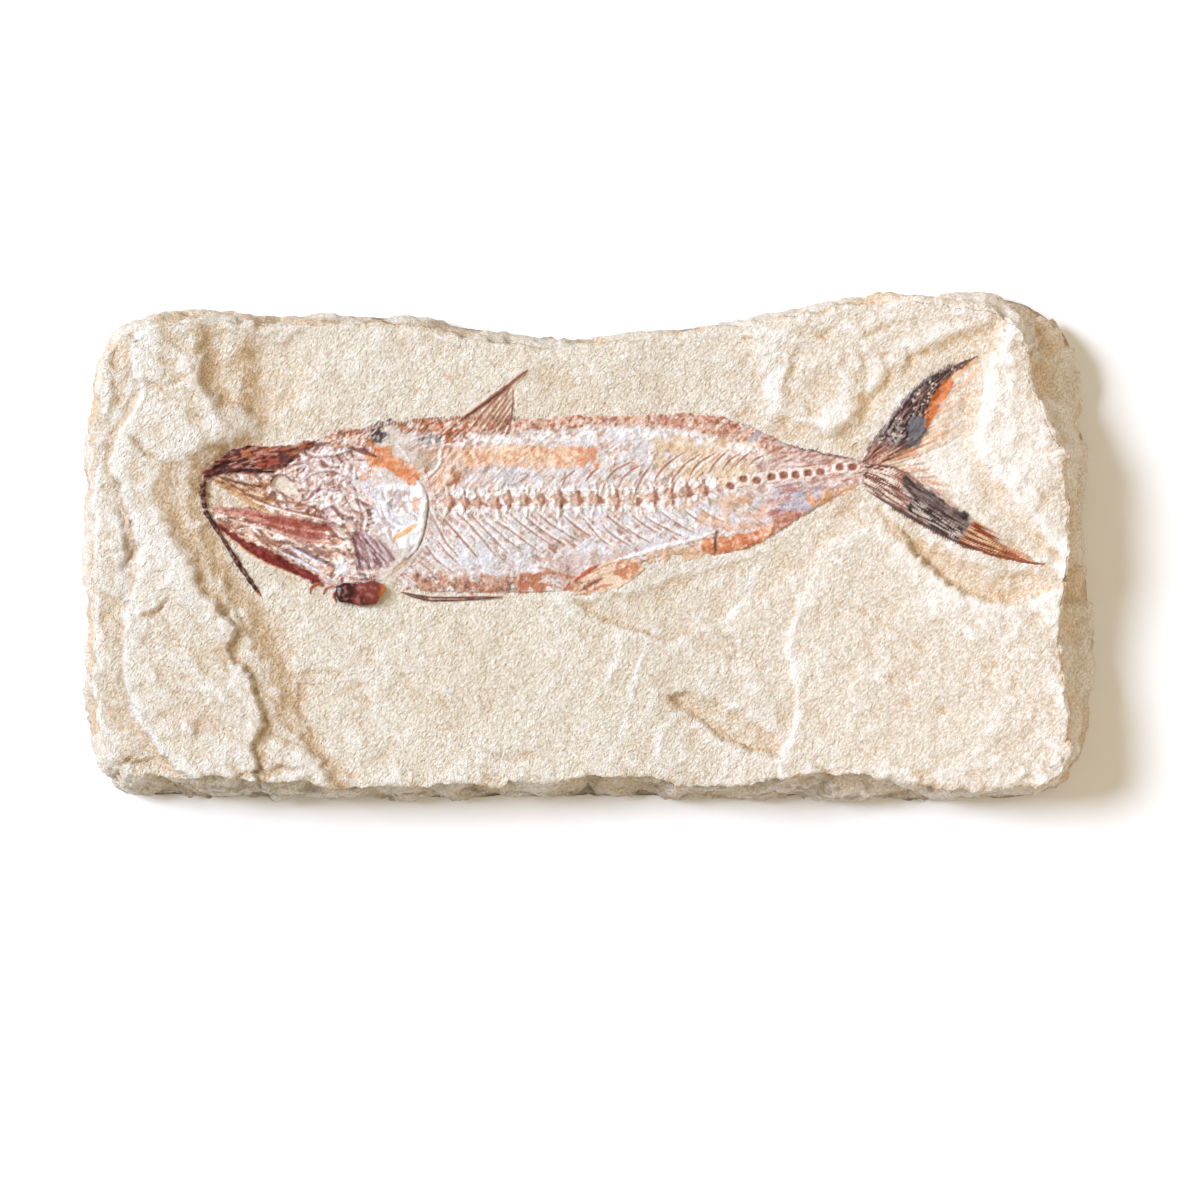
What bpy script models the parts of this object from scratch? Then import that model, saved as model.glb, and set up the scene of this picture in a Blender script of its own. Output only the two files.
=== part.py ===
"""Fossil fish slab: a split slab of pale limestone, lying on its back, with one fish bedded in its face.

Frame: +X runs along the slab from the fish's head to its tail, +Y across it towards the fish's back, +Z up out of
the split face. The origin is the middle of the flat underside. Outlines are in millimetres, counter-clockwise seen
from above; each object's mesh is in metres.
"""

import bpy
import numpy as np
from mathutils import Vector
from mathutils.geometry import delaunay_2d_cdt

MM = 0.001
GAP = 0.3            # clear space between pieces that lie against each other
FACE_HEIGHT = 18.0   # thickness of the slab at the face beside the fish
BED_HEIGHT = 17.6    # floor of the shallow bed that the bones lie in
BED_REACH = 1.0      # how far the flat bed runs past the bones
BED_EDGE = 3.5       # width of the slope from the bed up to the face
PLATE = 0.9          # thickness of a fossil plate between its ridges
RIDGE = 0.35         # how far a ridge, ray or rib stands over its plate

GRID_STEP = 4.9      # distance between the points of the slab's face
BREAK_REACH = 9.0    # a wider slope gets its two break lines this far apart
GRID_JITTER = 0.9
RIM_STEP = 5.4       # distance between the points of the slab's rim
LUMP_SIZE = 17.0     # width of the soft lumps of the split face
LUMP_HEIGHT = 0.45
CHIP_SIZE = 6.5      # width of the small flake scars
CHIP_HEIGHT = 0.3
BASE_INSET = 1.2     # the underside is this much smaller than the slab's widest ring

# The widest ring of the slab: x, y and how far the sloping side leans in there.
SLAB_OUTLINE = [
    (-123, 56, 2.5), (-125.5, 51, 2.5), (-127, 42, 2.5), (-128, 34.5, 3), (-130, 27, 3), (-129.5, 17.5, 3),
    (-129.5, 4, 3), (-130, -9, 3), (-129, -18, 3), (-129.5, -28, 3), (-130.3, -37, 3.5), (-129.5, -46, 4),
    (-128, -54.5, 4), (-126, -58.5, 4), (-123, -62, 4), (-119, -64.5, 4), (-109, -65.3, 5), (-96, -65.4, 6),
    (-83, -65.7, 5.5), (-70.5, -65.4, 3.5), (-58, -65.4, 2.5), (-45, -65.7, 4), (-32.5, -65.7, 4.5),
    (-17, -65.4, 4), (-4.5, -65.4, 4), (8, -65.7, 7), (15.5, -65.4, 6), (26, -65.2, 2.5), (37.5, -65.4, 2.5),
    (49, -65.7, 5.5), (61.5, -65.7, 7.5), (71.5, -65.7, 6), (84.5, -65.9, 3.5), (102, -65.9, 3),
    (113.5, -65.7, 3), (118.5, -64.5, 2.5), (122.5, -61.5, 2.5), (126, -57.5, 3), (128, -53, 3.5),
    (129.5, -45.5, 6), (130, -36.5, 8.5), (130.3, -28, 9.5), (129.5, -17, 9.5), (129, -10, 6), (128, -2.5, 3.5),
    (126.5, 8.5, 4.5), (128, 15.5, 5.5), (128.5, 23.5, 5), (128, 29.5, 6.5), (126, 34.5, 10), (126.5, 41, 12),
    (126, 50, 13), (122.5, 56.5, 12), (119, 60, 10.5), (115.5, 62, 9), (112, 63, 7.5), (109, 64.5, 5),
    (104.5, 65.5, 2.5), (92, 65.5, 2), (79, 65.7, 1.5), (69.5, 65.9, 2), (65.5, 63.5, 2), (54, 61.5, 2.5),
    (38.5, 58.5, 1.5), (23.5, 57, 1.5), (8, 54.5, 2), (-4.5, 53.8, 2), (-16, 54, 3.5), (-23.5, 56, 4),
    (-35, 58, 3), (-49, 60, 2.5), (-63, 60, 3), (-81, 60, 3.5), (-98.5, 61, 3.5), (-107.5, 61, 3),
    (-112.5, 59.5, 2.5), (-117.5, 57.5, 2.5),
]
# The side of the slab as rings from the rim down: share of the height, share of the lean.
SIDE_RINGS = [(0.82, 0.66), (0.74, 0.42), (0.42, 0.2), (0.26, 0.0)]

# The steps of the split face. Each outline point is x, y and the width of the slope there.
LEFT_BLOCK = [
    (-98, 72, 8), (-98, 56, 8), (-96.5, 51, 7), (-97, 46, 7), (-97, 41.5, 7), (-94.5, 38, 7),
    (-91.5, 34.5, 8), (-89, 30.5, 9), (-91, 26.5, 9), (-98, 24.5, 9), (-103, 22, 9),
    (-106.5, 20, 9), (-107.5, 16.5, 9), (-107, 11, 9), (-105.5, 5.5, 8), (-103, 0.5, 7), (-101, -3.5, 5),
    (-98.5, -11.5, 3), (-95, -15, 1.5), (-88.5, -21, 1), (-91.5, -24.5, 1), (-92, -27, 1), (-90, -29, 1),
    (-87, -31.5, 1), (-85, -36, 1), (-83, -41, 1), (-81.5, -45, 1), (-84, -48.5, 1), (-85, -52, 1),
    (-84, -56, 1), (-83, -72, 1), (-139, -72, 1), (-139, 72, 1),
]
LEFT_RAMP = [
    (-60, 72, 26), (-64, 62, 26), (-74, 58, 20), (-83, 54, 16), (-86, 50, 15), (-87.5, 46, 14),
    (-87.5, 41.5, 12), (-86.5, 37.5, 10), (-85, 34, 9), (-84, 30, 9), (-87, 26.5, 9), (-92, 25, 9),
    (-98.5, 20.5, 9), (-100, 15.5, 9), (-99, 9, 9), (-97, 1.5, 9), (-94, -5, 10), (-91, -12, 11),
    (-87, -18, 11), (-83, -24, 11), (-80.5, -30, 11), (-78.5, -36.5, 11), (-77, -43, 10), (-75, -48, 9),
    (-71, -52, 8), (-66, -56, 6), (-63, -72, 6), (-139, -72, 6), (-139, 72, 6),
]
LEFT_SHELF = [
    (-114.5, 75, 1.5), (-115, 51, 1.5), (-113.5, 39, 2), (-118.5, 29, 2), (-122.5, 20, 2), (-119, 16, 1.5),
    (-117.5, 10.5, 1.5), (-115.5, 4, 1.5), (-113.5, -2, 1.5), (-114.5, -7.5, 1.5), (-117, -14, 1.2),
    (-118, -24, 1), (-117.5, -34.5, 1), (-116, -40, 1), (-113.5, -46, 1), (-109.5, -51, 1), (-104.5, -56, 1.2),
    (-99.5, -60.5, 1.5), (-97.5, -75, 1.5), (-142, -75, 1.5), (-142, 75, 1.5),
]
SCOOP = [
    (-97, 53.5, 4), (-99, 46.5, 2.5), (-99, 41.5, 2), (-95.5, 38, 2), (-90, 35.5, 2), (-84, 33.8, 2),
    (-78, 34.5, 4), (-73, 38.5, 12), (-72, 45.5, 18), (-78, 52.5, 18), (-86.5, 56, 12), (-93, 56, 8),
]
TAIL_BANK = [
    (39, 72, 8), (39.5, 54.5, 8), (43.5, 46.5, 7), (45.5, 39, 6), (48.5, 33.5, 6), (54, 30.5, 5),
    (62, 28.5, 5),
    (67, 31, 5), (70, 37, 6), (75.5, 42.5, 6), (81, 47, 6), (87, 51, 6), (93, 53.5, 6), (101, 55.5, 6),
    (105.5, 58.5, 6), (107.5, 72, 6),
]
RIGHT_RISE = [
    (107.5, 72, 5), (106, 56.5, 5), (104, 50.5, 6), (101.5, 42, 7), (99.5, 34.5, 8), (97.5, 27, 8), (101, 20, 7),
    (107, 12.5, 6), (114, 5, 5), (119, -1.5, 4), (121.5, -8.5, 3), (140, -10, 4), (140, 72, 5),
]
TAIL_TROUGH = [
    (73, 8.5, 3), (79, 5, 1.6), (82.5, -1, 1.4), (86, -5, 1.4), (90.5, -9, 1.4), (96, -12.5, 1.6),
    (101, -14.5, 2), (106.5, -14.5, 4), (110.5, -13, 6), (116, -10.5, 7), (110, -8.5, 7), (99.5, -6, 7),
    (91, -3, 7), (83, 2, 6),
]
LOWER_RIGHT = [
    (61, 2, 5), (57, -5, 3), (54, -12, 1), (53, -17, 1), (51, -23, 1), (50.5, -26.5, 1), (52, -30.5, 1),
    (52.5, -37, 1), (53, -45.5, 1), (50.5, -50.5, 1.2), (48, -55, 1.5), (46, -75, 1.5), (140, -75, 1.5),
    (140, -9, 1.5), (120.5, -9.5, 3), (110.5, -13, 3), (101, -14, 1.5), (90.5, -9, 1), (82.5, -1, 1), (74, 5, 3),
]
CHIP_HOLLOW = [
    (20, -38, 1), (26, -42.5, 1), (31, -47, 1), (37, -50.5, 1), (43, -52.5, 1), (49.5, -54, 1),
    (47, -49, 5), (40.5, -44, 6), (32.5, -40, 6), (26, -37.5, 4),
]
BELLY_CUT = [
    (-4, -14.5, 1), (3, -19, 1), (9.5, -20, 1), (14.5, -22.5, 1), (20, -23.5, 1), (26, -22, 1.5), (34, -19, 3),
    (44, -13.5, 4), (55.5, -4, 5), (44, -2, 5), (13, -12, 3), (0.5, -14, 2),
]
LOW_DISH = [
    (-73, -32.5, 1.5), (-65.5, -31, 1.5), (-59, -34.5, 2), (-55, -40, 3), (-56, -46.5, 4), (-62.5, -50, 4),
    (-70, -49, 3), (-74, -42, 2),
]
# Each step with how far it rises, or sinks where that is negative.
STEPS = [
    (LEFT_RAMP, 2.4), (LEFT_BLOCK, 2.1), (LEFT_SHELF, -2.8), (SCOOP, -1.2), (TAIL_BANK, 1.5),
    (RIGHT_RISE, 2.4),
    (TAIL_TROUGH, -1.8), (LOWER_RIGHT, 0.7), (CHIP_HOLLOW, -1.3), (BELLY_CUT, -0.7), (LOW_DISH, -0.6),
]

# The fish: edges from head to tail.
SKULL_TOP = [
    (-97.2, 18.2), (-95.5, 21.5), (-93, 23.5), (-90, 25), (-84.5, 25.8), (-77.5, 25.8), (-72.5, 26.5),
    (-68, 27.3), (-60, 28.8), (-56.4, 29.6),
]
SKULL_BOTTOM = [
    (-96.6, 17), (-95, 15.8), (-91, 14), (-87, 11.2), (-81.5, 8.3), (-73, 6.5), (-63.5, 5), (-56.4, 4),
]
JAW_TOP = [(-95.8, 9.4), (-90.5, 9.2), (-86, 8.4), (-81, 7.2), (-73, 5.4), (-63.5, 3.8), (-57, 2.8)]
JAW_BOTTOM = [(-95.6, 7.6), (-92, 3.4), (-88, -0.4), (-82.5, -3.7), (-75.5, -6.2), (-70, -7.8), (-64, -8.9), (-57, -9)]
GILL_FRONT = [(-48, 25.2), (-52, 23), (-54.5, 18), (-55.4, 12), (-55.4, 5), (-55.2, -1), (-54.2, -6), (-52.5, -9.5)]
GILL_REAR = [(-46.7, 24.8), (-42.7, 21.2), (-40.9, 16.5), (-40.4, 10.3), (-40.9, 4), (-42.7, -1), (-45.7, -5.2), (-49.8, -9)]
BACK_TOP = [
    (-55.5, 29.8), (-49, 31), (-41.5, 31.7), (-34, 32.5), (-27.5, 32.5), (-19.5, 32), (-11, 32.5), (3, 33.4),
    (14.5, 34.2), (26, 34), (34, 32.6), (40.5, 30.6), (45.5, 28.3), (51.5, 25.6), (59, 23.8), (64.5, 22.6),
    (69.5, 21.8),
]
BACK_BOTTOM = [
    (-55.5, 27.5), (-52, 25.9), (-46, 25.8), (-41.8, 21.9), (-39.8, 16.5), (-39, 13), (-32.5, 12.6), (-22.5, 14),
    (-7, 13.7), (5.5, 13.7), (13, 14.2), (23.5, 15.9), (33.5, 17.1), (44, 18.7), (54, 19.9), (61.5, 20.6),
    (69.5, 21),
]
BACKBONE = [
    (-38.6, 10.8), (-32.5, 10.6), (-22.5, 12), (-7, 11.8), (5.5, 11.8), (13, 12.3), (23.5, 14.1), (33.5, 15.4),
    (44, 17.1), (54, 18.4), (61.5, 19.2), (69.5, 19.7),
]
BELLY_TOP = [
    (-49.2, -9.8), (-45, -5.9), (-41.9, -1.2), (-39.9, 4), (-39.2, 8.6), (-32.5, 8.6), (-22.5, 10), (-7, 9.9),
    (5.5, 9.9), (13, 10.4), (23.5, 12.3), (33.5, 13.7), (44, 15.5), (54, 16.9), (61.5, 17.8), (69.5, 18.4),
]
BELLY_BOTTOM = [
    (-51, -11.5), (-47.5, -12), (-44, -11.6), (-36, -11.5), (-22.5, -11.5), (-13.5, -10.9), (-6, -9.5),
    (0.5, -6.5), (7, -3.7), (14.5, -2.3), (23.5, -1.3), (34.5, -1.3), (40, 0.7), (46.5, 3.4), (52, 6.2),
    (57, 9.3), (62, 12.3), (66.5, 14.6), (69.5, 15.9),
]
DORSAL_LEAD = [(-32.6, 33.5), (-27.4, 37), (-22.4, 40.8), (-18, 43.6)]
DORSAL_TRAIL = [(-20.4, 33.2), (-19.8, 36.5), (-19, 40), (-17.6, 43.2)]
PELVIC_TOP = [(-47.3, -12.7), (-40, -12.5), (-30, -12.3), (-21.5, -12.7)]
PELVIC_BOTTOM = [(-47.3, -13.1), (-40, -14.2), (-30, -14.1), (-21.5, -13.1)]
ANAL_TOP = [(-3.8, -9.9), (1.2, -7.4), (6.5, -4.9), (12.3, -3.2)]
ANAL_BOTTOM = [(-4.2, -11.8), (2.5, -11.2), (8.5, -9.8), (13, -5.6)]
TAIL_UPPER_OUTER = [
    (70.2, 22), (72, 24.6), (75.5, 29.4), (80, 35), (84.5, 40.5), (88.5, 43.8), (92.5, 46.2), (96, 47.6), (99, 48.4),
]
TAIL_UPPER_INNER = [
    (70.2, 19.2), (77, 20.6), (81.5, 23.3), (84.5, 27), (87, 32), (89.5, 36.5), (92.5, 40.8), (96, 45), (99.3, 47.8),
]
TAIL_LOWER_INNER = [
    (70.2, 18.6), (77, 18.9), (82.5, 17.7), (87, 15.2), (91, 12.6), (95, 9.8), (99.5, 7), (104.5, 3.7), (110, 0.2),
    (116.6, -3.3),
]
TAIL_LOWER_OUTER = [
    (70.2, 15.4), (73, 12.7), (78, 9.4), (83.5, 5.6), (88.5, 2.3), (93.5, 0), (98.5, -1.9), (104.5, -3.6),
    (110, -4.5), (116.6, -4),
]
ROD_SHORT = [(-97.9, 15.2), (-98.2, 12), (-97.5, 8.8)]
ROD_LONG = [(-97, 7.4), (-94.7, 3.6), (-92.3, -0.9), (-89.6, -5.5), (-86.5, -10), (-83.8, -13.2)]
ROD_HALF_WIDTH = 0.6
BONE_LUMP_CENTRE = (-57.9, -12.7)
BONE_LUMP_RADII = (5.9, 2.8, 1.5)


def remove_everything():
    """Empty the scene."""
    for old in list(bpy.data.objects):
        bpy.data.objects.remove(old, do_unlink=True)


def material(name, colour, roughness):
    """One plain material with the piece's main colour."""
    made = bpy.data.materials.new(name)
    made.use_nodes = True
    shader = made.node_tree.nodes["Principled BSDF"]
    shader.inputs["Base Color"].default_value = (*colour, 1.0)
    shader.inputs["Roughness"].default_value = roughness
    shader.inputs["Metallic"].default_value = 0.0
    made.diffuse_color = (*colour, 1.0)
    return made


def make_object(name, points_mm, faces, finish, smooth=True):
    """A mesh object from points in millimetres, with its normals turned outwards."""
    mesh = bpy.data.meshes.new(name)
    mesh.from_pydata([tuple(float(c) * MM for c in p) for p in points_mm], [], faces)
    mesh.validate()
    if smooth:
        mesh.shade_smooth()
        mesh.set_sharp_from_angle(angle=np.radians(38.0))
    made = bpy.data.objects.new(name, mesh)
    made.data.materials.append(finish)
    bpy.context.scene.collection.objects.link(made)
    return made


def relief_noise(x, y, size, seed):
    """Smooth random relief from -1 to 1, with lumps about size millimetres wide."""
    cells = 64
    lattice = np.random.default_rng(seed).uniform(-1.0, 1.0, (cells, cells))
    u, v = np.asarray(x) / size + cells, np.asarray(y) / size + cells
    column, row = np.floor(u).astype(int), np.floor(v).astype(int)
    fu, fv = u - column, v - row
    fu, fv = fu * fu * (3.0 - 2.0 * fu), fv * fv * (3.0 - 2.0 * fv)
    left = lattice[row % cells, column % cells] * (1 - fv) + lattice[(row + 1) % cells, column % cells] * fv
    right = (lattice[row % cells, (column + 1) % cells] * (1 - fv)
             + lattice[(row + 1) % cells, (column + 1) % cells] * fv)
    return left * (1 - fu) + right * fu


def signed_distance(x, y, outline):
    """Distance to a closed outline, positive inside, and the outline's third value at the nearest point."""
    corners = np.array([tuple(p) + (0.0,) * (3 - len(p)) for p in outline], float)
    nearest = np.full(len(x), np.inf)
    width = np.zeros(len(x))
    inside = np.zeros(len(x), bool)
    for (ax, ay, aw), (bx, by, bw) in zip(corners, np.roll(corners, -1, axis=0)):
        dx, dy = bx - ax, by - ay
        t = np.clip(((x - ax) * dx + (y - ay) * dy) / (dx * dx + dy * dy), 0.0, 1.0)
        away = np.hypot(x - ax - t * dx, y - ay - t * dy)
        closer = away < nearest
        nearest = np.where(closer, away, nearest)
        width = np.where(closer, aw + t * (bw - aw), width)
        if ay != by:
            crosses = (y < ay) != (y < by)
            inside ^= crosses & (x < ax + dx * (y - ay) / dy)
    return np.where(inside, nearest, -nearest), width


def smooth_step(t):
    """0 below 0, 1 above 1, and a smooth S between."""
    t = np.clip(t, 0.0, 1.0)
    return t * t * (3.0 - 2.0 * t)


def face_height(x, y, bone_outlines):
    """Height of the split face: its steps, its lumps, and the flat bed under the bones."""
    height = FACE_HEIGHT + LUMP_HEIGHT * relief_noise(x, y, LUMP_SIZE, 3)
    height = height + CHIP_HEIGHT * relief_noise(x, y, CHIP_SIZE, 5)
    for outline, rise in STEPS:
        distance, width = signed_distance(x, y, outline)
        height = height + rise * smooth_step(distance / width + 0.5)
    bed = np.zeros(len(x))
    for outline in bone_outlines:
        distance, _ = signed_distance(x, y, outline)
        bed = np.maximum(bed, smooth_step((distance + BED_REACH + BED_EDGE) / BED_EDGE))
    return height * (1.0 - bed) + BED_HEIGHT * bed


def resample(points, step=None, count=None, closed=False):
    """Points at even distances along a polyline, with every column of its values carried along."""
    line = np.array(points, float)
    if closed:
        line = np.vstack([line, line[:1]])
    along = np.concatenate([[0.0], np.cumsum(np.hypot(*np.diff(line[:, :2], axis=0).T))])
    if count is None:
        count = max(2, int(round(along[-1] / step)) + (0 if closed else 1))
    wanted = np.linspace(0.0, along[-1], count, endpoint=not closed)
    return np.column_stack([np.interp(wanted, along, column) for column in line.T])


def offset(ring, amount):
    """A closed ring moved inwards, each point along its own normal by its own amount."""
    tangent = np.roll(ring, -1, axis=0) - np.roll(ring, 1, axis=0)
    tangent /= np.hypot(*tangent.T)[:, None]
    inward = np.column_stack([-tangent[:, 1], tangent[:, 0]])
    return ring + inward * np.reshape(amount, (-1, 1))


def face_points(rim, break_lines, random):
    """The rim, the break lines inside it and a jittered grid between them, as points and edges."""
    points = [tuple(p) for p in rim]
    edges = [(i, (i + 1) % len(rim)) for i in range(len(rim))]
    for line in break_lines:
        kept, _ = signed_distance(line[:, 0], line[:, 1], rim)
        start = len(points)
        points += [tuple(p) for p in line]
        joined = [(i, (i + 1) % len(line)) for i in range(len(line))]
        edges += [(start + a, start + b) for a, b in joined if kept[a] > 1.5 and kept[b] > 1.5]
    xs = np.arange(-130.0, 130.0, GRID_STEP)
    ys = np.arange(-66.0, 66.0, GRID_STEP)
    gx, gy = [g.ravel() for g in np.meshgrid(xs, ys)]
    gx = gx + random.uniform(-GRID_JITTER, GRID_JITTER, gx.size)
    gy = gy + random.uniform(-GRID_JITTER, GRID_JITTER, gy.size)
    taken = np.array(points)
    clear = np.array([np.hypot(taken[:, 0] - a, taken[:, 1] - b).min() for a, b in zip(gx, gy)])
    kept = clear > 0.55 * GRID_STEP
    points += list(zip(gx[kept], gy[kept]))
    inside, _ = signed_distance(*np.array(points).T, rim)
    keep = [i for i in range(len(points)) if i < len(rim) or inside[i] > 1.5]
    renumber = {old: new for new, old in enumerate(keep)}
    edges = [(renumber[a], renumber[b]) for a, b in edges if a in renumber and b in renumber]
    return [points[i] for i in keep], edges


def slab(bone_outlines, finish):
    """The stone: a triangulated face with its steps as break lines, ledged sides and a flat underside."""
    random = np.random.default_rng(11)
    ring = resample(SLAB_OUTLINE, step=RIM_STEP, closed=True)
    lean = ring[:, 2] + 0.5
    base = ring[:, :2]
    rim = offset(base, lean)
    count = len(rim)
    break_lines = []
    for outline, _ in STEPS:
        corners = np.array(outline, float)
        for side in (-0.5, 0.5):
            break_lines.append(offset(corners[:, :2], side * np.minimum(corners[:, 2], BREAK_REACH)))
    for outline in bone_outlines:
        break_lines.append(offset(resample(outline, step=GRID_STEP, closed=True), -BED_REACH))
    points, edges = face_points(rim, break_lines, random)
    flat, _, faces, _, _, _ = delaunay_2d_cdt([Vector(p) for p in points], edges, [list(range(count))], 1, 0.02)
    face = np.array([tuple(p) for p in flat])
    top = np.column_stack([face, face_height(face[:, 0], face[:, 1], bone_outlines)])
    order = [int(np.hypot(*(face - p).T).argmin()) for p in rim]
    rings, solid = [order], [tuple(p) for p in top]
    rim_height = top[order, 2]
    for number, (height_share, lean_share) in enumerate(SIDE_RINGS):
        ragged = 0.5 + 0.5 * relief_noise(base[:, 0], base[:, 1] + 40.0 * number, 9.0, 21 + number)
        inset = lean * lean_share + (0.9 * ragged if lean_share > 0 else 0.0)
        level = offset(base, inset)
        wander = 0.8 * relief_noise(base[:, 0], base[:, 1], 21.0, 31 + number)
        rings.append(list(range(len(solid), len(solid) + count)))
        solid += [(x, y, z) for (x, y), z in zip(level, height_share * rim_height + wander)]
    bottom = offset(base, BASE_INSET)
    rings.append(list(range(len(solid), len(solid) + count)))
    solid += [(x, y, 0.0) for x, y in bottom]
    triangles = [list(f) for f in faces]
    for upper, lower in zip(rings, rings[1:]):
        for i in range(count):
            j = (i + 1) % count
            triangles.append([upper[i], lower[i], lower[j]])
            triangles.append([upper[i], lower[j], upper[j]])
    triangles.append(list(reversed(rings[-1])))
    return make_object("stone_slab", solid, triangles, finish)


def plate(name, first_edge, second_edge, stations, across, height, finish):
    """A closed plate between two edges, first_edge on its right-hand side seen along the plate.

    height takes the arrays (along, over), each from 0 to 1, and gives the plate's thickness there.
    """
    first = resample(first_edge, count=stations)
    second = resample(second_edge, count=stations)
    over = np.linspace(0.0, 1.0, across)
    along = np.linspace(0.0, 1.0, stations)
    grid = first[:, None, :] * (1 - over)[None, :, None] + second[:, None, :] * over[None, :, None]
    thickness = height(along[:, None] + 0 * over[None, :], over[None, :] + 0 * along[:, None])
    low = BED_HEIGHT + GAP
    number = stations * across
    flat = grid.reshape(number, 2)
    points = np.vstack([np.column_stack([flat, low + thickness.reshape(number)]),
                        np.column_stack([flat, np.full(number, low)])])
    faces = []
    for i in range(stations - 1):
        for j in range(across - 1):
            a, b = i * across + j, (i + 1) * across + j
            faces += [[a, b, b + 1], [a, b + 1, a + 1]]
            faces += [[number + a, number + b + 1, number + b], [number + a, number + a + 1, number + b + 1]]
    border = [i * across for i in range(stations)]
    border += [(stations - 1) * across + j for j in range(1, across)]
    border += [i * across + across - 1 for i in range(stations - 2, -1, -1)]
    border += [j for j in range(across - 2, 0, -1)]
    for a, b in zip(border, border[1:] + border[:1]):
        faces += [[a, number + a, number + b], [a, number + b, b]]
    return make_object(name, points, faces, finish)


def ridged_across(crests):
    """Ridges that run along the plate, side by side, thinning out at its edges."""
    def height(along, over):
        wave = 0.5 - 0.5 * np.cos(2 * np.pi * crests * over)
        return PLATE * (0.6 + 0.4 * np.sin(np.pi * over)) + RIDGE * wave
    return height


def ribbed_along(count):
    """Ribs that cross the plate, one after another, thinning out at its edges."""
    def height(along, over):
        wave = 0.5 - 0.5 * np.cos(2 * np.pi * count * along)
        return PLATE * (0.6 + 0.4 * np.sin(np.pi * over)) + RIDGE * wave * np.sin(np.pi * over)
    return height


def skull_height(along, over):
    """Long ridges over the skull roof, a swelling cheek, and the hollow of the eye."""
    ridges = ridged_across(4)(along, over)
    cheek = 0.5 * np.exp(-((along - 0.75) / 0.2) ** 2 - ((over - 0.4) / 0.3) ** 2)
    eye = 0.75 * np.exp(-((along - 0.5) / 0.09) ** 2 - ((over - 0.52) / 0.13) ** 2)
    return np.maximum(ridges + cheek - eye, 0.3)


def gill_height(along, over):
    """A shield, swelling to a rim along its rear edge."""
    return PLATE * (0.75 + 0.4 * np.sin(np.pi * over)) + RIDGE * np.exp(-((over - 0.85) / 0.14) ** 2)


def loop(first_edge, second_edge):
    """The closed outline between two edges, counter-clockwise."""
    return list(first_edge) + list(reversed(second_edge))


def backbone_edges():
    """Both edges of the row of vertebrae, each vertebra waisted like an hourglass."""
    vertebrae = 26
    line = resample(BACKBONE, count=2 * vertebrae + 1)
    tangent = np.gradient(line, axis=0)
    tangent /= np.hypot(*tangent.T)[:, None]
    normal = np.column_stack([-tangent[:, 1], tangent[:, 0]])
    along = np.linspace(0.0, 1.0, len(line))
    wide = 1.25 - 0.55 * along
    half = np.where(np.arange(len(line)) % 2 == 0, wide, 0.6 * wide)[:, None]
    return line - normal * half, line + normal * half


def backbone_height(along, over):
    """Low at the waists and high at the ends of each vertebra, rounded across."""
    ends = np.arange(along.shape[0])[:, None] % 2 == 0
    return PLATE + np.where(ends, 0.4, -0.1) + 0.3 * np.sin(np.pi * over)


def rod_edges(line):
    """Both edges of a thin rod."""
    points = resample(line, count=2 * len(line))
    tangent = np.gradient(points, axis=0)
    tangent /= np.hypot(*tangent.T)[:, None]
    side = np.column_stack([-tangent[:, 1], tangent[:, 0]]) * ROD_HALF_WIDTH
    return points - side, points + side


def bone_lump(finish):
    """The dark nodule under the throat, a flattened ball that rests on the bed."""
    rows, columns = 8, 16
    cx, cy = BONE_LUMP_CENTRE
    rx, ry, rz = BONE_LUMP_RADII
    middle = BED_HEIGHT + GAP + rz
    points = [(cx, cy, middle + rz)]
    for i in range(1, rows):
        tilt = np.pi * i / rows
        for j in range(columns):
            turn = 2 * np.pi * j / columns
            points.append((cx + rx * np.sin(tilt) * np.cos(turn), cy + ry * np.sin(tilt) * np.sin(turn),
                           middle + rz * np.cos(tilt)))
    points.append((cx, cy, middle - rz))
    faces = []
    for j in range(columns):
        k = (j + 1) % columns
        faces.append([0, 1 + j, 1 + k])
        for i in range(rows - 2):
            a, b = 1 + i * columns, 1 + (i + 1) * columns
            faces += [[a + j, b + j, b + k], [a + j, b + k, a + k]]
        last = 1 + (rows - 2) * columns
        faces.append([last + j, len(points) - 1, last + k])
    return make_object("dark_lump", points, faces, finish)


def lump_outline():
    """The nodule's outline seen from above."""
    turns = np.linspace(0.0, 2 * np.pi, 12, endpoint=False)
    cx, cy = BONE_LUMP_CENTRE
    rx, ry, _ = BONE_LUMP_RADII
    return [(cx + rx * np.cos(a), cy + ry * np.sin(a)) for a in turns]


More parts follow.
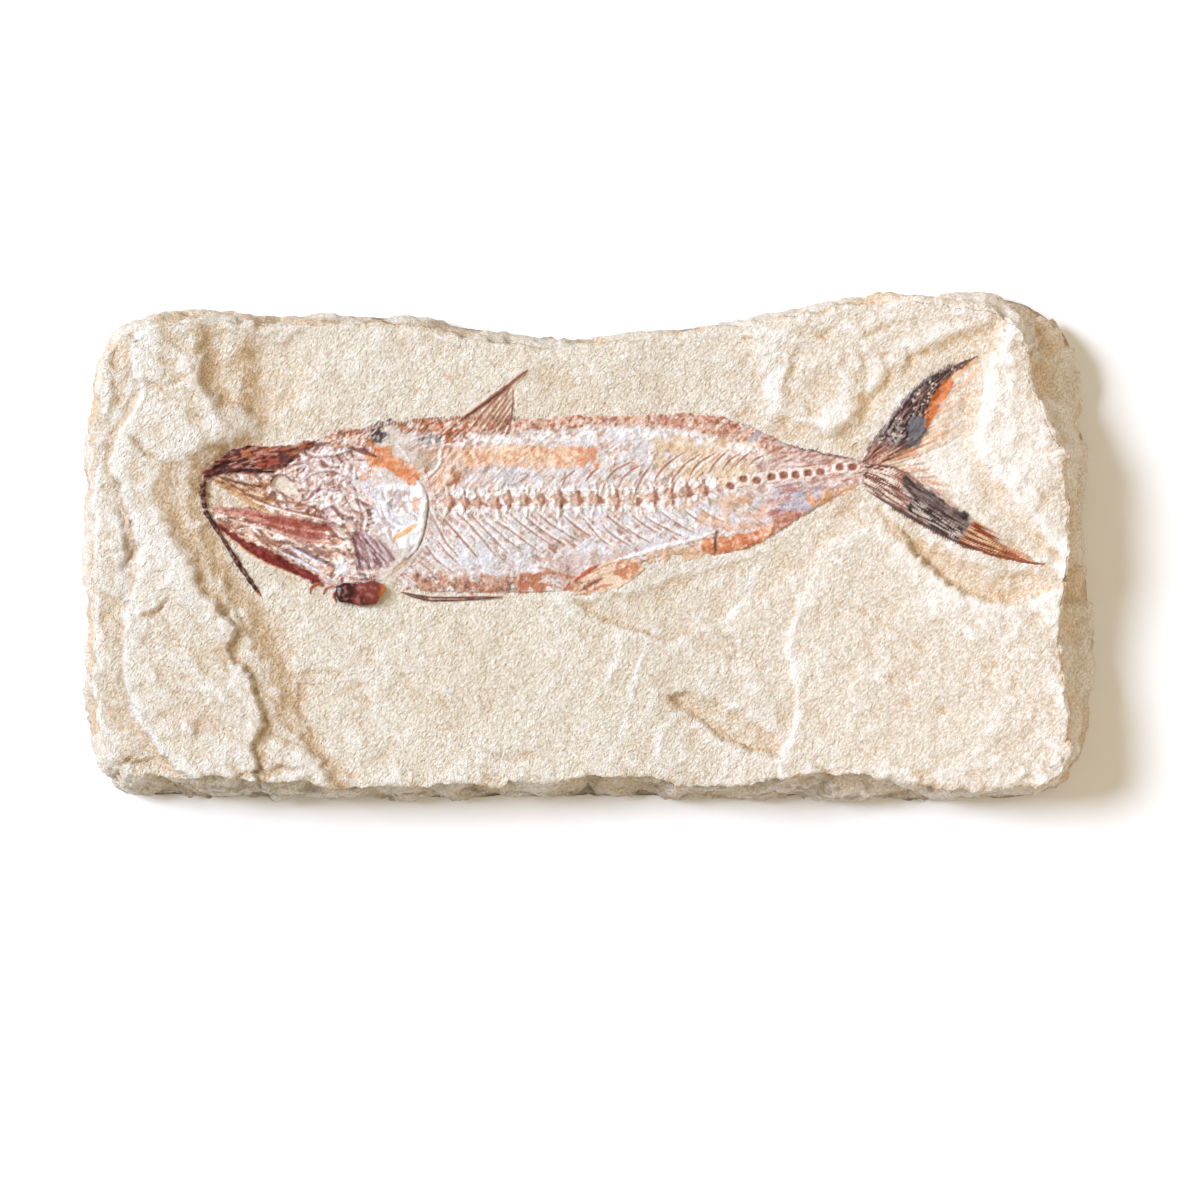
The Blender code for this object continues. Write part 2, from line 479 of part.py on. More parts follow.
def build():
    """Make the slab and every bone."""
    remove_everything()
    limestone = material("limestone", (0.82, 0.72, 0.55), 0.9)
    dark_bone = material("dark_bone", (0.09, 0.025, 0.02), 0.45)
    pink_bone = material("pink_bone", (0.45, 0.24, 0.19), 0.6)
    silver_scale = material("silver_scale", (0.6, 0.5, 0.45), 0.55)
    rust_ray = material("rust_ray", (0.33, 0.12, 0.05), 0.6)

    spine_low, spine_high = backbone_edges()
    bones = [
        ("skull", SKULL_BOTTOM, SKULL_TOP, 13, 9, skull_height, dark_bone),
        ("lower_jaw", JAW_BOTTOM, JAW_TOP, 10, 7, ridged_across(3), pink_bone),
        ("gill_cover", GILL_FRONT, GILL_REAR, 10, 6, gill_height, silver_scale),
        ("back_flank", BACK_BOTTOM, BACK_TOP, 49, 4, ribbed_along(24), silver_scale),
        ("backbone", spine_low, spine_high, 53, 3, backbone_height, pink_bone),
        ("belly_flank", BELLY_BOTTOM, BELLY_TOP, 49, 4, ribbed_along(24), silver_scale),
        ("dorsal_fin", DORSAL_TRAIL, DORSAL_LEAD, 5, 7, ridged_across(3), rust_ray),
        ("pelvic_fin", PELVIC_BOTTOM, PELVIC_TOP, 7, 3, ridged_across(1), dark_bone),
        ("anal_fin", ANAL_BOTTOM, ANAL_TOP, 5, 7, ridged_across(3), rust_ray),
        ("tail_fin_upper", TAIL_UPPER_INNER, TAIL_UPPER_OUTER, 11, 9, ridged_across(4), dark_bone),
        ("tail_fin_lower", TAIL_LOWER_OUTER, TAIL_LOWER_INNER, 11, 9, ridged_across(4), rust_ray),
        ("loose_rod_short", *rod_edges(ROD_SHORT), 4, 3, ridged_across(1), dark_bone),
        ("loose_rod_long", *rod_edges(ROD_LONG), 8, 3, ridged_across(1), dark_bone),
    ]
    outlines = [loop(low, high) for _, low, high, *_ in bones] + [lump_outline()]
    slab(outlines, limestone)
    for bone in bones:
        plate(*bone)
    bone_lump(dark_bone)


build()
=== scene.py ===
# %% [markdown]
# # A fossil fish on its slab of limestone
#
# The object is a split slab of pale limestone, about 260 mm long, with one fish lying in its face. The
# imported model gives the solids at their real size. Here each of them gets its fine surface: the stone its
# ledges, grain and chalky edges, with painted highlight on its edges and painted shade in its hollows, and
# every bone its ridges, rays and colours. Lengths are in millimetres until a mesh is made, so the numbers
# can be checked with a ruler.

import bpy
import numpy as np
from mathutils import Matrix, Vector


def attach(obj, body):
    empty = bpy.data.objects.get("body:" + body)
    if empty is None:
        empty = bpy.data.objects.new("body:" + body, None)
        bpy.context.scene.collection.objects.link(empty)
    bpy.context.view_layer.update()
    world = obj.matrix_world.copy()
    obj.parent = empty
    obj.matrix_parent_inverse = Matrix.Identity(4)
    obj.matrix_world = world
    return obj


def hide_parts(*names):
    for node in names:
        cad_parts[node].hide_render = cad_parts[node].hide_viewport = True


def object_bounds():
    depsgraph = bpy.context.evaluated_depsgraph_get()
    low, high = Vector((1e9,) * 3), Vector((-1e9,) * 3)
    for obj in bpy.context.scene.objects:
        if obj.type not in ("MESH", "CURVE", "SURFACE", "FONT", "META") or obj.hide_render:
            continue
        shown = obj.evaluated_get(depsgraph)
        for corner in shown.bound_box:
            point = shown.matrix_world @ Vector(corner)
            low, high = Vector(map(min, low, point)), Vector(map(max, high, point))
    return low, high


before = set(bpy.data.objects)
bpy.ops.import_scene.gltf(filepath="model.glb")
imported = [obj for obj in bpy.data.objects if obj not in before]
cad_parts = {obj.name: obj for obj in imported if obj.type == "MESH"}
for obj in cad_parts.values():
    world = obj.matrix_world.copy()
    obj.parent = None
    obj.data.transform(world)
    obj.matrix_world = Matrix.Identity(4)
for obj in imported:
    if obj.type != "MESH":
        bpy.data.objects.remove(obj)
cad_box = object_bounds()
MM = 0.001
print("solid model, low and high corner in metres:", cad_box)

# %% [markdown]
# ## Tools for shapes
#
# Rough stone could be sculpted by hand, but a sculpt can't be read or changed by a number. Here every
# surface is a formula instead: a smooth random field for the lumps, and the distance to a drawn outline for
# each ledge. Both work on whole arrays, so a hundred thousand points take a moment.

# %% Smooth steps and random relief
def smooth_step(t):
    """0 below 0, 1 above 1, and 3t^2 - 2t^3 between."""
    t = np.clip(t, 0.0, 1.0)
    return t * t * (3.0 - 2.0 * t)


def bump_at(value, centre, width):
    """A bell: e to the minus ((value - centre) / width) squared."""
    return np.exp(-((value - centre) / width) ** 2)


def relief_noise(x, y, size, seed):
    """Smooth random relief from -1 to 1: random values on a lattice of cells size mm wide, blended between
    them."""
    cells = 32
    lattice = np.random.default_rng(seed).uniform(-1.0, 1.0, (cells, cells))
    x, y = np.broadcast_arrays(np.asarray(x, float), np.asarray(y, float))
    cell, share = [], []
    for value in (0.8 * x + 0.6 * y, -0.6 * x + 0.8 * y):
        scaled = value / size + 8 * cells
        low = np.floor(scaled).astype(int)
        cell.append(low)
        share.append(smooth_step(scaled - low))
    total = np.zeros(x.shape)
    for dy in (0, 1):
        wy = share[1] if dy else 1.0 - share[1]
        for dx in (0, 1):
            wx = share[0] if dx else 1.0 - share[0]
            total += wx * wy * lattice[(cell[1] + dy) % cells, (cell[0] + dx) % cells]
    return total


def rough(x, y, size, seed, octaves=3):
    """Relief noise with finer and finer copies added, each half as wide and half as high."""
    total, height = 0.0, 1.0
    for octave in range(octaves):
        total = total + height * relief_noise(x, y, size / 2 ** octave, seed + 7 * octave)
        height *= 0.5
    return total / (2.0 - 2.0 ** (1 - octaves))


def fibres(x, y, degrees, long, thin, seed):
    """Random streaks: relief noise squeezed to thin mm across and stretched to long mm along the given
    direction."""
    c, s = np.cos(np.radians(degrees)), np.sin(np.radians(degrees))
    return relief_noise((c * x + s * y) / long, (-s * x + c * y) / thin, 1.0, seed)


def facets(x, y, size, seed, crisp=22.0):
    """Broken stone: every jittered cell, size mm wide, is a plane tilted its own way, with narrow edges
    between."""
    cells = 48
    draw = np.random.default_rng(seed).uniform(-1.0, 1.0, (5, cells, cells))
    column, row = np.floor(x / size).astype(int), np.floor(y / size).astype(int)
    total, weights = 0.0, 0.0
    for i in (-1, 0, 1):
        for j in (-1, 0, 1):
            a, b = (column + i) % cells, (row + j) % cells
            dx = x / size - (column + i + 0.5 + 0.42 * draw[0, a, b])
            dy = y / size - (row + j + 0.5 + 0.42 * draw[1, a, b])
            weight = np.exp(-crisp * (dx * dx + dy * dy))
            total = total + weight * (draw[2, a, b] * dx + draw[3, a, b] * dy + 0.35 * draw[4, a, b])
            weights = weights + weight
    return total / weights


print("noise at three points:", np.round(relief_noise(np.array([0, 5, 10]), 0, 4.0, 1), 3))

# %% Outlines and lines
def path(text):
    """The points of a text such as "1,2 3,4"; each has two numbers, or three."""
    return [tuple(map(float, point.split(","))) for point in text.split()]


def paths(text):
    """The lines of a text that has a semicolon between each two of them."""
    return [path(line) for line in text.split(";")]


def signed_distance(x, y, outline):
    """Distance to a closed outline, positive inside, and the outline's third value at the nearest point."""
    corners = np.array([tuple(p) + (0.0,) * (3 - len(p)) for p in outline], float)
    nearest = np.full(np.shape(x), np.inf)
    width = np.zeros(np.shape(x))
    inside = np.zeros(np.shape(x), bool)
    for (ax, ay, aw), (bx, by, bw) in zip(corners, np.roll(corners, -1, axis=0)):
        dx, dy = bx - ax, by - ay
        t = np.clip(((x - ax) * dx + (y - ay) * dy) / (dx * dx + dy * dy), 0.0, 1.0)
        away = np.hypot(x - ax - t * dx, y - ay - t * dy)
        closer = away < nearest
        nearest = np.where(closer, away, nearest)
        width = np.where(closer, aw + t * (bw - aw), width)
        if ay != by:
            inside ^= ((y < ay) != (y < by)) & (x < ax + dx * (y - ay) / dy)
    return np.where(inside, nearest, -nearest), width


def depth_in(x, y, outlines):
    """The greatest signed distance to any of some outlines."""
    return np.max([signed_distance(x, y, outline)[0] for outline in outlines], axis=0)


def line_distance(x, y, line):
    """Distance to an open line of points, and how far along it, from 0 to 1, the nearest point lies."""
    points = np.array(line, float)[:, :2]
    lengths = np.hypot(*np.diff(points, axis=0).T)
    start = np.concatenate([[0.0], np.cumsum(lengths)])
    nearest, along = np.full(np.shape(x), np.inf), np.zeros(np.shape(x))
    for (ax, ay), (bx, by), length, before in zip(points, points[1:], lengths, start):
        dx, dy = bx - ax, by - ay
        t = np.clip(((x - ax) * dx + (y - ay) * dy) / (length * length), 0.0, 1.0)
        away = np.hypot(x - ax - t * dx, y - ay - t * dy)
        closer = away < nearest
        nearest = np.where(closer, away, nearest)
        along = np.where(closer, (before + t * length) / start[-1], along)
    return nearest, along


def thinning(along):
    """0 at both ends of a line, 1 in its middle: the root of 4 t (1 - t)."""
    return np.sqrt(np.clip(4 * along * (1 - along), 0, 1))


def resample(points, count, closed=False):
    """Points at even distances along a polyline, with every column of its values carried along."""
    line = np.array(points, float)
    if closed:
        line = np.vstack([line, line[:1]])
    along = np.concatenate([[0.0], np.cumsum(np.hypot(*np.diff(line[:, :2], axis=0).T))])
    wanted = np.linspace(0.0, along[-1], count, endpoint=not closed)
    return np.column_stack([np.interp(wanted, along, column) for column in line.T])


def rounded(points, count, closed=False):
    """A resampled line with its corners eased: each point averaged with its neighbours, three times."""
    line = resample(points, count, closed)
    for _ in range(3):
        if closed:
            line = 0.5 * line + 0.25 * (np.roll(line, 1, axis=0) + np.roll(line, -1, axis=0))
        else:
            line[1:-1] = 0.5 * line[1:-1] + 0.25 * (line[:-2] + line[2:])
    return line


def offset(ring, amount):
    """A closed ring moved inwards, each point along its own normal by its own amount."""
    tangent = np.roll(ring, -1, axis=0) - np.roll(ring, 1, axis=0)
    tangent /= np.hypot(*tangent.T)[:, None]
    return ring + np.column_stack([-tangent[:, 1], tangent[:, 0]]) * np.reshape(amount, (-1, 1))


# %% Meshes from arrays
def grid_faces(rows, columns):
    """The quads of a grid of rows x columns points, each counter-clockwise for x along the rows, y across."""
    first = (np.arange(rows - 1)[:, None] * columns + np.arange(columns - 1)[None, :]).ravel()
    return np.column_stack([first, first + columns, first + columns + 1, first + 1])


def make_piece(name, points_mm, faces, finish, slot_name, nodes=(), **values):
    """A mesh object from points in millimetres; values become float or colour attributes of its points."""
    mesh = bpy.data.meshes.new(name)
    mesh.from_pydata((np.asarray(points_mm) * MM).tolist(), [], [list(map(int, f)) for f in faces])
    for label, array in values.items():
        array = np.asarray(array, np.float32)
        if array.ndim == 2:
            layer = mesh.attributes.new(label, "FLOAT_COLOR", "POINT")
            layer.data.foreach_set("color", np.column_stack([array,
                np.ones(len(array))]).astype(np.float32).ravel())
        else:
            layer = mesh.attributes.new(label, "FLOAT", "POINT")
            layer.data.foreach_set("value", array)
    mesh.shade_smooth()
    mesh.update()
    piece = bpy.data.objects.new(name, mesh)
    piece.data.materials.append(finish)
    bpy.context.scene.collection.objects.link(piece)
    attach(piece, "root")
    if nodes:
        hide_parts(*nodes)
    print(f"{name}: {len(mesh.vertices)} points, {len(mesh.polygons)} faces")


# %% [markdown]
# ## Camera, light and floor
#
# The slab was photographed from straight above, with a strong soft light from the left. A wide lamp low on
# the left brings out the ledges. A lamp on a stand would light the near end more than the far one, so it
# stands far away like the sun; the duller tail end is painted shade instead. The sky is warm and bright,
# which keeps the shaded sides of the ledges tan and open, and tan painted shade in the stone's colour adds
# to it. The camera is long, so that the sides of the slab show only where they slope.

# %% Camera
VIEW_WIDTH = 304.8                 # width of the picture at the height of the face
VIEW_CENTRE = (3.0, -13.8)
CAMERA_HEIGHT = 2400.0
FACE_HEIGHT = 18.0
SENSOR = 36.0

camera_data = bpy.data.cameras.new("camera")
camera_data.sensor_width = SENSOR
camera_data.lens = SENSOR * CAMERA_HEIGHT / VIEW_WIDTH
camera_data.clip_start = 0.01
camera = bpy.data.objects.new("camera", camera_data)
camera.location = (VIEW_CENTRE[0] * MM, VIEW_CENTRE[1] * MM, (CAMERA_HEIGHT + FACE_HEIGHT) * MM)
bpy.context.scene.collection.objects.link(camera)
bpy.context.scene.camera = camera
bpy.context.scene.view_settings.view_transform = "Standard"
print("lens:", round(camera_data.lens, 1), "mm")

# %% Lamp and sky
KEY_DIRECTION = (-0.74, 0.27, 0.6)  # towards the lamp
FILL_DIRECTION = (0.7, -0.1, 0.5)


def far_lamp(name, direction, spread, strength, colour):
    """A lamp so far away that it lights both ends alike; spread in degrees is its width in the sky."""
    data = bpy.data.lights.new(name, "SUN")
    data.angle = np.radians(spread)
    data.energy = strength
    data.color = colour
    made = bpy.data.objects.new(name, data)
    away = -np.array(direction) / np.linalg.norm(direction)
    made.rotation_euler = (np.arccos(-away[2]), 0.0, np.arctan2(away[1], away[0]) - np.pi / 2)
    bpy.context.scene.collection.objects.link(made)


far_lamp("key_lamp", KEY_DIRECTION, 30.0, 4.16, (0.97, 1.0, 1.12))
far_lamp("fill_lamp", FILL_DIRECTION, 60.0, 0.78, (1.0, 0.82, 0.6))
world = bpy.data.worlds.new("sky")
world.use_nodes = True
world.node_tree.nodes["Background"].inputs["Color"].default_value = (1.0, 0.8, 0.53, 1.0)
world.node_tree.nodes["Background"].inputs["Strength"].default_value = 0.5
bpy.context.scene.world = world

# %% Floor
FLOOR_HALF = 3.0
floor_mesh = bpy.data.meshes.new("floor")
floor_mesh.from_pydata([(-FLOOR_HALF, -FLOOR_HALF, 0), (FLOOR_HALF, -FLOOR_HALF, 0),
                        (FLOOR_HALF, FLOOR_HALF, 0), (-FLOOR_HALF, FLOOR_HALF, 0)], [], [(0, 1, 2, 3)])
floor = bpy.data.objects.new("floor", floor_mesh)
floor_finish = bpy.data.materials.new("floor_finish")
floor_finish.use_nodes = True
floor_finish.node_tree.nodes["Principled BSDF"].inputs["Base Color"].default_value = (0.88, 0.93, 1.0, 1.0)
floor_finish.node_tree.nodes["Principled BSDF"].inputs["Roughness"].default_value = 0.9
floor_mesh.materials.append(floor_finish)
bpy.context.scene.collection.objects.link(floor)

# %% [markdown]
# ## Finishes
#
# Limestone is matt and granular: its colour changes from cream to tan over centimetres, chalky white where
# it was scraped or chipped, and its grain is half a millimetre wide. That could be an image, but a picture
# would smear on the ledges, so the grain is noise in the stone's own space. Light and shade are painted into
# the stone's colour as well: a painted highlight in white on edges that stand out, painted shade in tan in
# hollows, on steep slopes, on slopes that face away from the key lamp and on the facets of the sides,
# painted shade in deep brown in bedding cracks and at the foot of the front side, and a duller tone towards
# the tail as painted shade. The fossil's colours follow its anatomy, so they are worked out point by point by
# formulas and kept in a colour attribute. A second attribute, cover, says how much of the fossil film is
# left, and where it is 0 the same stone shows as everywhere else.

# %% Colours as seen
LIGHT_LEVEL = np.array([1.15, 1.08, 1.0])  # light on the flat face; colours are named by how they look there


def seen(red, green, blue):
    """A colour given as it looks on the lit slab, 0 to 255, turned into the linear value that shaders use."""
    shown = np.array([red, green, blue]) / 255.0
    linear = np.where(shown <= 0.04045, shown / 12.92, ((shown + 0.055) / 1.055) ** 2.4)
    return np.minimum(linear / LIGHT_LEVEL, 0.95)


STONE = seen(243, 236, 220)
WARM_STONE = seen(235, 222, 198)
# tan for painted shade in hollows and on slopes facing away from the key lamp
SHADE_TAN = seen(216, 173, 117)
# white for chalky edges and veins, and for painted highlight on what stands out
CHALK_AND_HIGHLIGHT = seen(255, 254, 251)
RUST_STAIN = seen(222, 190, 165)
# a duller stone for painted shade towards the tail end
TAIL_END_SHADE = seen(222, 211, 196)
PALE_STONE = seen(248, 243, 231)
# deep brown for painted shade in bedding cracks and at the foot of the front side
DEEP_SHADE = seen(104, 82, 60)
print("stone in linear light:", np.round(STONE, 3))

# %% A material put together node by node
class Finish:
    """A material whose methods add one node each and return its output."""

    def __init__(self, name, roughness, specular):
        self.material = bpy.data.materials.new(name)
        self.material.use_nodes = True
        self.tree = self.material.node_tree
        self.shader = self.tree.nodes["Principled BSDF"]
        self.shader.inputs["Roughness"].default_value = roughness
        self.shader.inputs["Specular IOR Level"].default_value = specular
        self.place = self.add("TexCoord").outputs["Object"]

    def add(self, kind, **inputs):
        """A new node; each input gets a number, or a link if it is given a socket."""
        node = self.tree.nodes.new("ShaderNode" + kind)
        for label, value in inputs.items():
            socket = node.inputs[label.replace("_", " ")]
            if isinstance(value, bpy.types.NodeSocket):
                self.tree.links.new(value, socket)
            else:
                socket.default_value = value
        return node

    def attribute(self, name, output="Fac"):
        """An attribute of the mesh."""
        node = self.add("Attribute")
        node.attribute_name = name
        return node.outputs[output]

    def stretched(self, degrees, squeeze):
        """The object's coordinates turned about Z; patterns grow longer along the new X."""
        node = self.add("Mapping")
        node.vector_type = "TEXTURE"
        node.inputs["Rotation"].default_value = (0.0, 0.0, np.radians(degrees))
        node.inputs["Scale"].default_value = (squeeze, 1.0, 1.0)
        self.tree.links.new(self.place, node.inputs["Vector"])
        return node.outputs["Vector"]

    def head_to_tail(self):
        """The object's X in metres, which grows from the head to the tail."""
        return self.add("SeparateXYZ", Vector=self.place).outputs["X"]

    def times(self, first, second):
        """The product of two sockets."""
        node = self.add("Math")
        node.operation = "MULTIPLY"
        self.tree.links.new(first, node.inputs[0])
        self.tree.links.new(second, node.inputs[1])
        return node.outputs["Value"]

    def noise(self, size_mm, detail=3.0, rough_share=0.55, place=None):
        """Noise in lumps of one size, with finer ones on them."""
        return self.add("TexNoise", Vector=place or self.place, Scale=1000.0 / size_mm, Detail=detail,
            Roughness=rough_share).outputs["Fac"]

    def spread(self, value, low, high, out_low=0.0, out_high=1.0):
        """A value from low to high moved to the range from out_low to out_high, and held there."""
        return self.add("MapRange", Value=value, From_Min=low, From_Max=high, To_Min=out_low,
            To_Max=out_high).outputs["Result"]

    def mix(self, factor, first, second, how="MIX"):
        """Two colours blended by a factor; each of the three is a value or a socket."""
        node = self.tree.nodes.new("ShaderNodeMix")
        node.data_type = "RGBA"
        node.blend_type = how
        node.clamp_result = True
        sockets = [socket for socket in node.inputs if socket.enabled]
        for socket, value in zip(sockets, (factor, first, second)):
            if isinstance(value, bpy.types.NodeSocket):
                self.tree.links.new(value, socket)
            elif isinstance(value, float):
                socket.default_value = value
            else:
                socket.default_value = (*value, 1.0)
        return [socket for socket in node.outputs if socket.enabled][0]

    def colour(self, socket):
        """Give the surface its colour."""
        self.tree.links.new(socket, self.shader.inputs["Base Color"])

    def bump(self, height, distance_mm, strength=1.0, under=None):
        """Raise the surface by a height of up to distance_mm, on top of another bump if one is given."""
        node = self.add("Bump", Distance=distance_mm * MM, Strength=strength, Height=height)
        if under is not None:
            self.tree.links.new(under, node.inputs["Normal"])
        self.tree.links.new(node.outputs["Normal"], self.shader.inputs["Normal"])
        return node.outputs["Normal"]


# %% Limestone
def stone_tone(finish):
    """Cream with warm patches, a duller tone towards the tail as painted shade, tan painted shade in hollows
    and on steep or away-facing slopes, a fine speckle, chalky edges with painted highlight, deep brown
    painted shade in cracks and at the foot of the front side, and rust stains.
    """
    patches = finish.spread(finish.noise(24.0, 4.0), 0.42, 0.66)
    tone = finish.mix(patches, STONE, WARM_STONE)
    mottle = finish.spread(finish.noise(5.0, 5.0, 0.7), 0.42, 0.6, 0.0, 0.24)
    tone = finish.mix(mottle, tone, PALE_STONE)
    # painted shade: the stone grows duller towards the tail, away from the lamp
    tone = finish.mix(finish.spread(finish.head_to_tail(), 0.0, 0.08, 0.0, 0.9), tone, TAIL_END_SHADE)
    # painted shade: tan in hollows, on steep slopes and on slopes facing away from the key lamp
    tone = finish.mix(finish.attribute("hollow"), tone, SHADE_TAN)
    speckle = finish.spread(finish.noise(0.6, 3.0, 0.75, finish.stretched(50, 1.5)), 0.41, 0.59)
    tone = finish.mix(0.42, tone, finish.mix(speckle, seen(190, 154, 107), seen(255, 255, 248)))
    # chalky white on edges and veins, partly a painted highlight on what stands out
    tone = finish.mix(finish.attribute("chalk"), tone, CHALK_AND_HIGHLIGHT)
    # painted shade: deep brown in bedding cracks and at the foot of the front side
    tone = finish.mix(finish.attribute("dirt"), tone, DEEP_SHADE)
    return finish.mix(finish.attribute("stain"), tone, RUST_STAIN)


def stone_grain(finish, share=None):
    """Pits and lumps of three sizes, roughest at the head's end; the finest are longer than wide."""
    near_head = finish.spread(finish.head_to_tail(), 0.02, 0.08, 1.0, 0.55)
    if share is not None:
        near_head = finish.times(near_head, share)
    coarse = finish.bump(finish.noise(2.6, 4.0, 0.65), 0.5, near_head)
    middle = finish.bump(finish.noise(1.05, 3.0, 0.65, finish.stretched(40, 1.4)), 0.8, near_head, coarse)
    return finish.bump(finish.noise(0.55, 3.0, 0.65, finish.stretched(50, 1.5)), 0.7, near_head, middle)


stone_finish = Finish("limestone_finish", 0.93, 0.1)
stone_finish.colour(stone_tone(stone_finish))
stone_grain(stone_finish)
print("limestone finish has", len(stone_finish.tree.nodes), "nodes")

# %% Fossil
def fossil_finish(name, roughness, specular, bump_mm, fleck_share, light):
    """Bone, scale or ray over the stone: its colour attribute, flecked darker and lighter, as far as the
    cover."""
    made = Finish(name, roughness, specular)
    cover = made.attribute("cover")
    base = made.attribute("colour", "Color")
    fleck = made.spread(made.noise(0.6, 3.0, 0.75), 0.42, 0.58)
    dark = made.mix(1.0, base, (0.75, 0.67, 0.62), "MULTIPLY")
    bright = made.mix(1.0, base, (light, light, light), "MULTIPLY")
    made.colour(made.mix(cover, stone_tone(made), made.mix(fleck_share, base, made.mix(fleck, dark,
        bright))))
    grain = stone_grain(made, made.spread(cover, 0.0, 1.0, 1.0, 0.25))
    made.bump(made.noise(0.7, 3.0, 0.7), bump_mm, cover, grain)
    return made


dark_finish = fossil_finish("dark_bone_finish", 0.42, 0.2, 0.3, 0.5, 1.3)
pink_finish = fossil_finish("pink_bone_finish", 0.55, 0.15, 0.35, 0.55, 1.4)
silver_finish = fossil_finish("silver_scale_finish", 0.55, 0.2, 0.35, 0.5, 1.165)
ray_finish = fossil_finish("rust_ray_finish", 0.55, 0.12, 0.3, 0.5, 1.3)

gloss_finish = Finish("glossy_bone_finish", 0.28, 0.3)
gloss_finish.colour(gloss_finish.attribute("colour", "Color"))
gloss_finish.bump(gloss_finish.noise(1.5, 4.0, 0.6), 0.25, 0.6)

# %% [markdown]
# ## The stone
#
# The real slab was split along its bedding and then chipped square with a hammer. Its face could be one
# height map over a rectangle, but the sides would be ragged walls. So the face is a grid that is stretched
# between the four stretches of the rim, and the sides are more rings of the same points, walked down to the
# flat underside. The outline, the ledges and their heights are those of the solid model.

# %% Outline and ledges of the stone
SLAB_OUTLINE = path("-123,56,2.5 -125.5,51,2.5 -127,42,2.5 -128,34.5,3 -130,27,3 -129.5,17.5,3 -129.5,4,3 "
    "-130,-9,3 -129,-18,3 -129.5,-28,3 -130.3,-37,3.5 -129.5,-46,4 -128,-54.5,4 -126,-58.5,4 -123,-62,4 "
    "-119,-64.5,4 -109,-65.3,5 -96,-65.4,6 -83,-65.7,5.5 -70.5,-65.4,3.5 -58,-65.4,2.5 -45,-65.7,4 "
    "-32.5,-65.7,4.5 -17,-65.4,4 -4.5,-65.4,4 8,-65.7,7 15.5,-65.4,6 26,-65.2,2.5 37.5,-65.4,2.5 "
    "49,-65.7,5.5 61.5,-65.7,7.5 71.5,-65.7,6 84.5,-65.9,3.5 102,-65.9,3 113.5,-65.7,3 118.5,-64.5,2.5 "
    "122.5,-61.5,2.5 126,-57.5,3 128,-53,3.5 129.5,-45.5,6 130,-36.5,8.5 130.3,-28,9.5 129.5,-17,9.5 "
    "129,-10,6 128,-2.5,3.5 126.5,8.5,4.5 128,15.5,5.5 128.5,23.5,5 128,29.5,6.5 126,34.5,10 126.5,41,12 "
    "126,50,13 122.5,56.5,12 119,60,10.5 115.5,62,9 112,63,7.5 109,64.5,5 104.5,65.5,2.5 92,65.5,2 "
    "79,65.7,1.5 69.5,65.9,2 65.5,63.5,2 54,61.5,2.5 38.5,58.5,1.5 23.5,57,1.5 8,54.5,2 -4.5,53.8,2 "
    "-16,54,3.5 -23.5,56,4 -35,58,3 -49,60,2.5 -63,60,3 -81,60,3.5 -98.5,61,3.5 -107.5,61,3 -112.5,59.5,2.5 "
    "-117.5,57.5,2.5")
LEFT_BLOCK = path("-98,72,8 -98,56,8 -96.5,51,7 -97,46,7 -97,41.5,7 -94.5,38,7 -91.5,34.5,8 -89,30.5,9 "
    "-91,26.5,9 -98,24.5,9 -103,22,9 -106.5,20,9 -107.5,16.5,9 -107,11,9 -105.5,5.5,8 -103,0.5,7 "
    "-101,-3.5,5 -98.5,-11.5,3 -95,-15,1.5 -88.5,-21,1 -91.5,-24.5,1 -92,-27,1 -90,-29,1 -87,-31.5,1 "
    "-85,-36,1 -83,-41,1 -81.5,-45,1 -84,-48.5,1 -85,-52,1 -84,-56,1 -83,-72,1 -139,-72,1 -139,72,1")
LEFT_RAMP = path("-60,72,26 -64,62,26 -74,58,20 -83,54,16 -86,50,15 -87.5,46,14 -87.5,41.5,12 -86.5,37.5,10 "
    "-85,34,9 -84,30,9 -87,26.5,9 -92,25,9 -98.5,20.5,9 -100,15.5,9 -99,9,9 -97,1.5,9 -94,-5,10 -91,-12,11 "
    "-87,-18,11 -83,-24,11 -80.5,-30,11 -78.5,-36.5,11 -77,-43,10 -75,-48,9 -71,-52,8 -66,-56,6 -63,-72,6 "
    "-139,-72,6 -139,72,6")
LEFT_SHELF = path("-114.5,75,1.5 -115,51,1.5 -113.5,39,2 -118.5,29,2 -122.5,20,2 -119,16,1.5 "
    "-117.5,10.5,1.5 -115.5,4,1.5 -113.5,-2,1.5 -114.5,-7.5,1.5 -117,-14,1.2 -118,-24,1 -117.5,-34.5,1 "
    "-116,-40,1 -113.5,-46,1 -109.5,-51,1 -104.5,-56,1.2 -99.5,-60.5,1.5 -97.5,-75,1.5 -142,-75,1.5 "
    "-142,75,1.5")
SCOOP = path("-97,53.5,4 -99,46.5,2.5 -99,41.5,2 -95.5,38,2 -90,35.5,2 -84,33.8,2 -78,34.5,4 -73,38.5,12 "
    "-72,45.5,18 -78,52.5,18 -86.5,56,12 -93,56,8")
TAIL_BANK = path("39,72,8 39.5,54.5,8 43.5,46.5,7 45.5,39,6 48.5,33.5,6 54,30.5,5 62,28.5,5 67,31,5 70,37,6 "
    "75.5,42.5,6 81,47,6 87,51,6 93,53.5,6 101,55.5,6 105.5,58.5,6 107.5,72,6")
RIGHT_RISE = path("107.5,72,5 106,56.5,5 104,50.5,6 101.5,42,7 99.5,34.5,8 97.5,27,8 101,20,7 107,12.5,6 "
    "114,5,5 119,-1.5,4 121.5,-8.5,3 140,-10,4 140,72,5")
TAIL_TROUGH = path("73,8.5,3 79,5,1.6 82.5,-1,1.4 86,-5,1.4 90.5,-9,1.4 96,-12.5,1.6 101,-14.5,2 "
    "106.5,-14.5,4 110.5,-13,6 116,-10.5,7 110,-8.5,7 99.5,-6,7 91,-3,7 83,2,6")
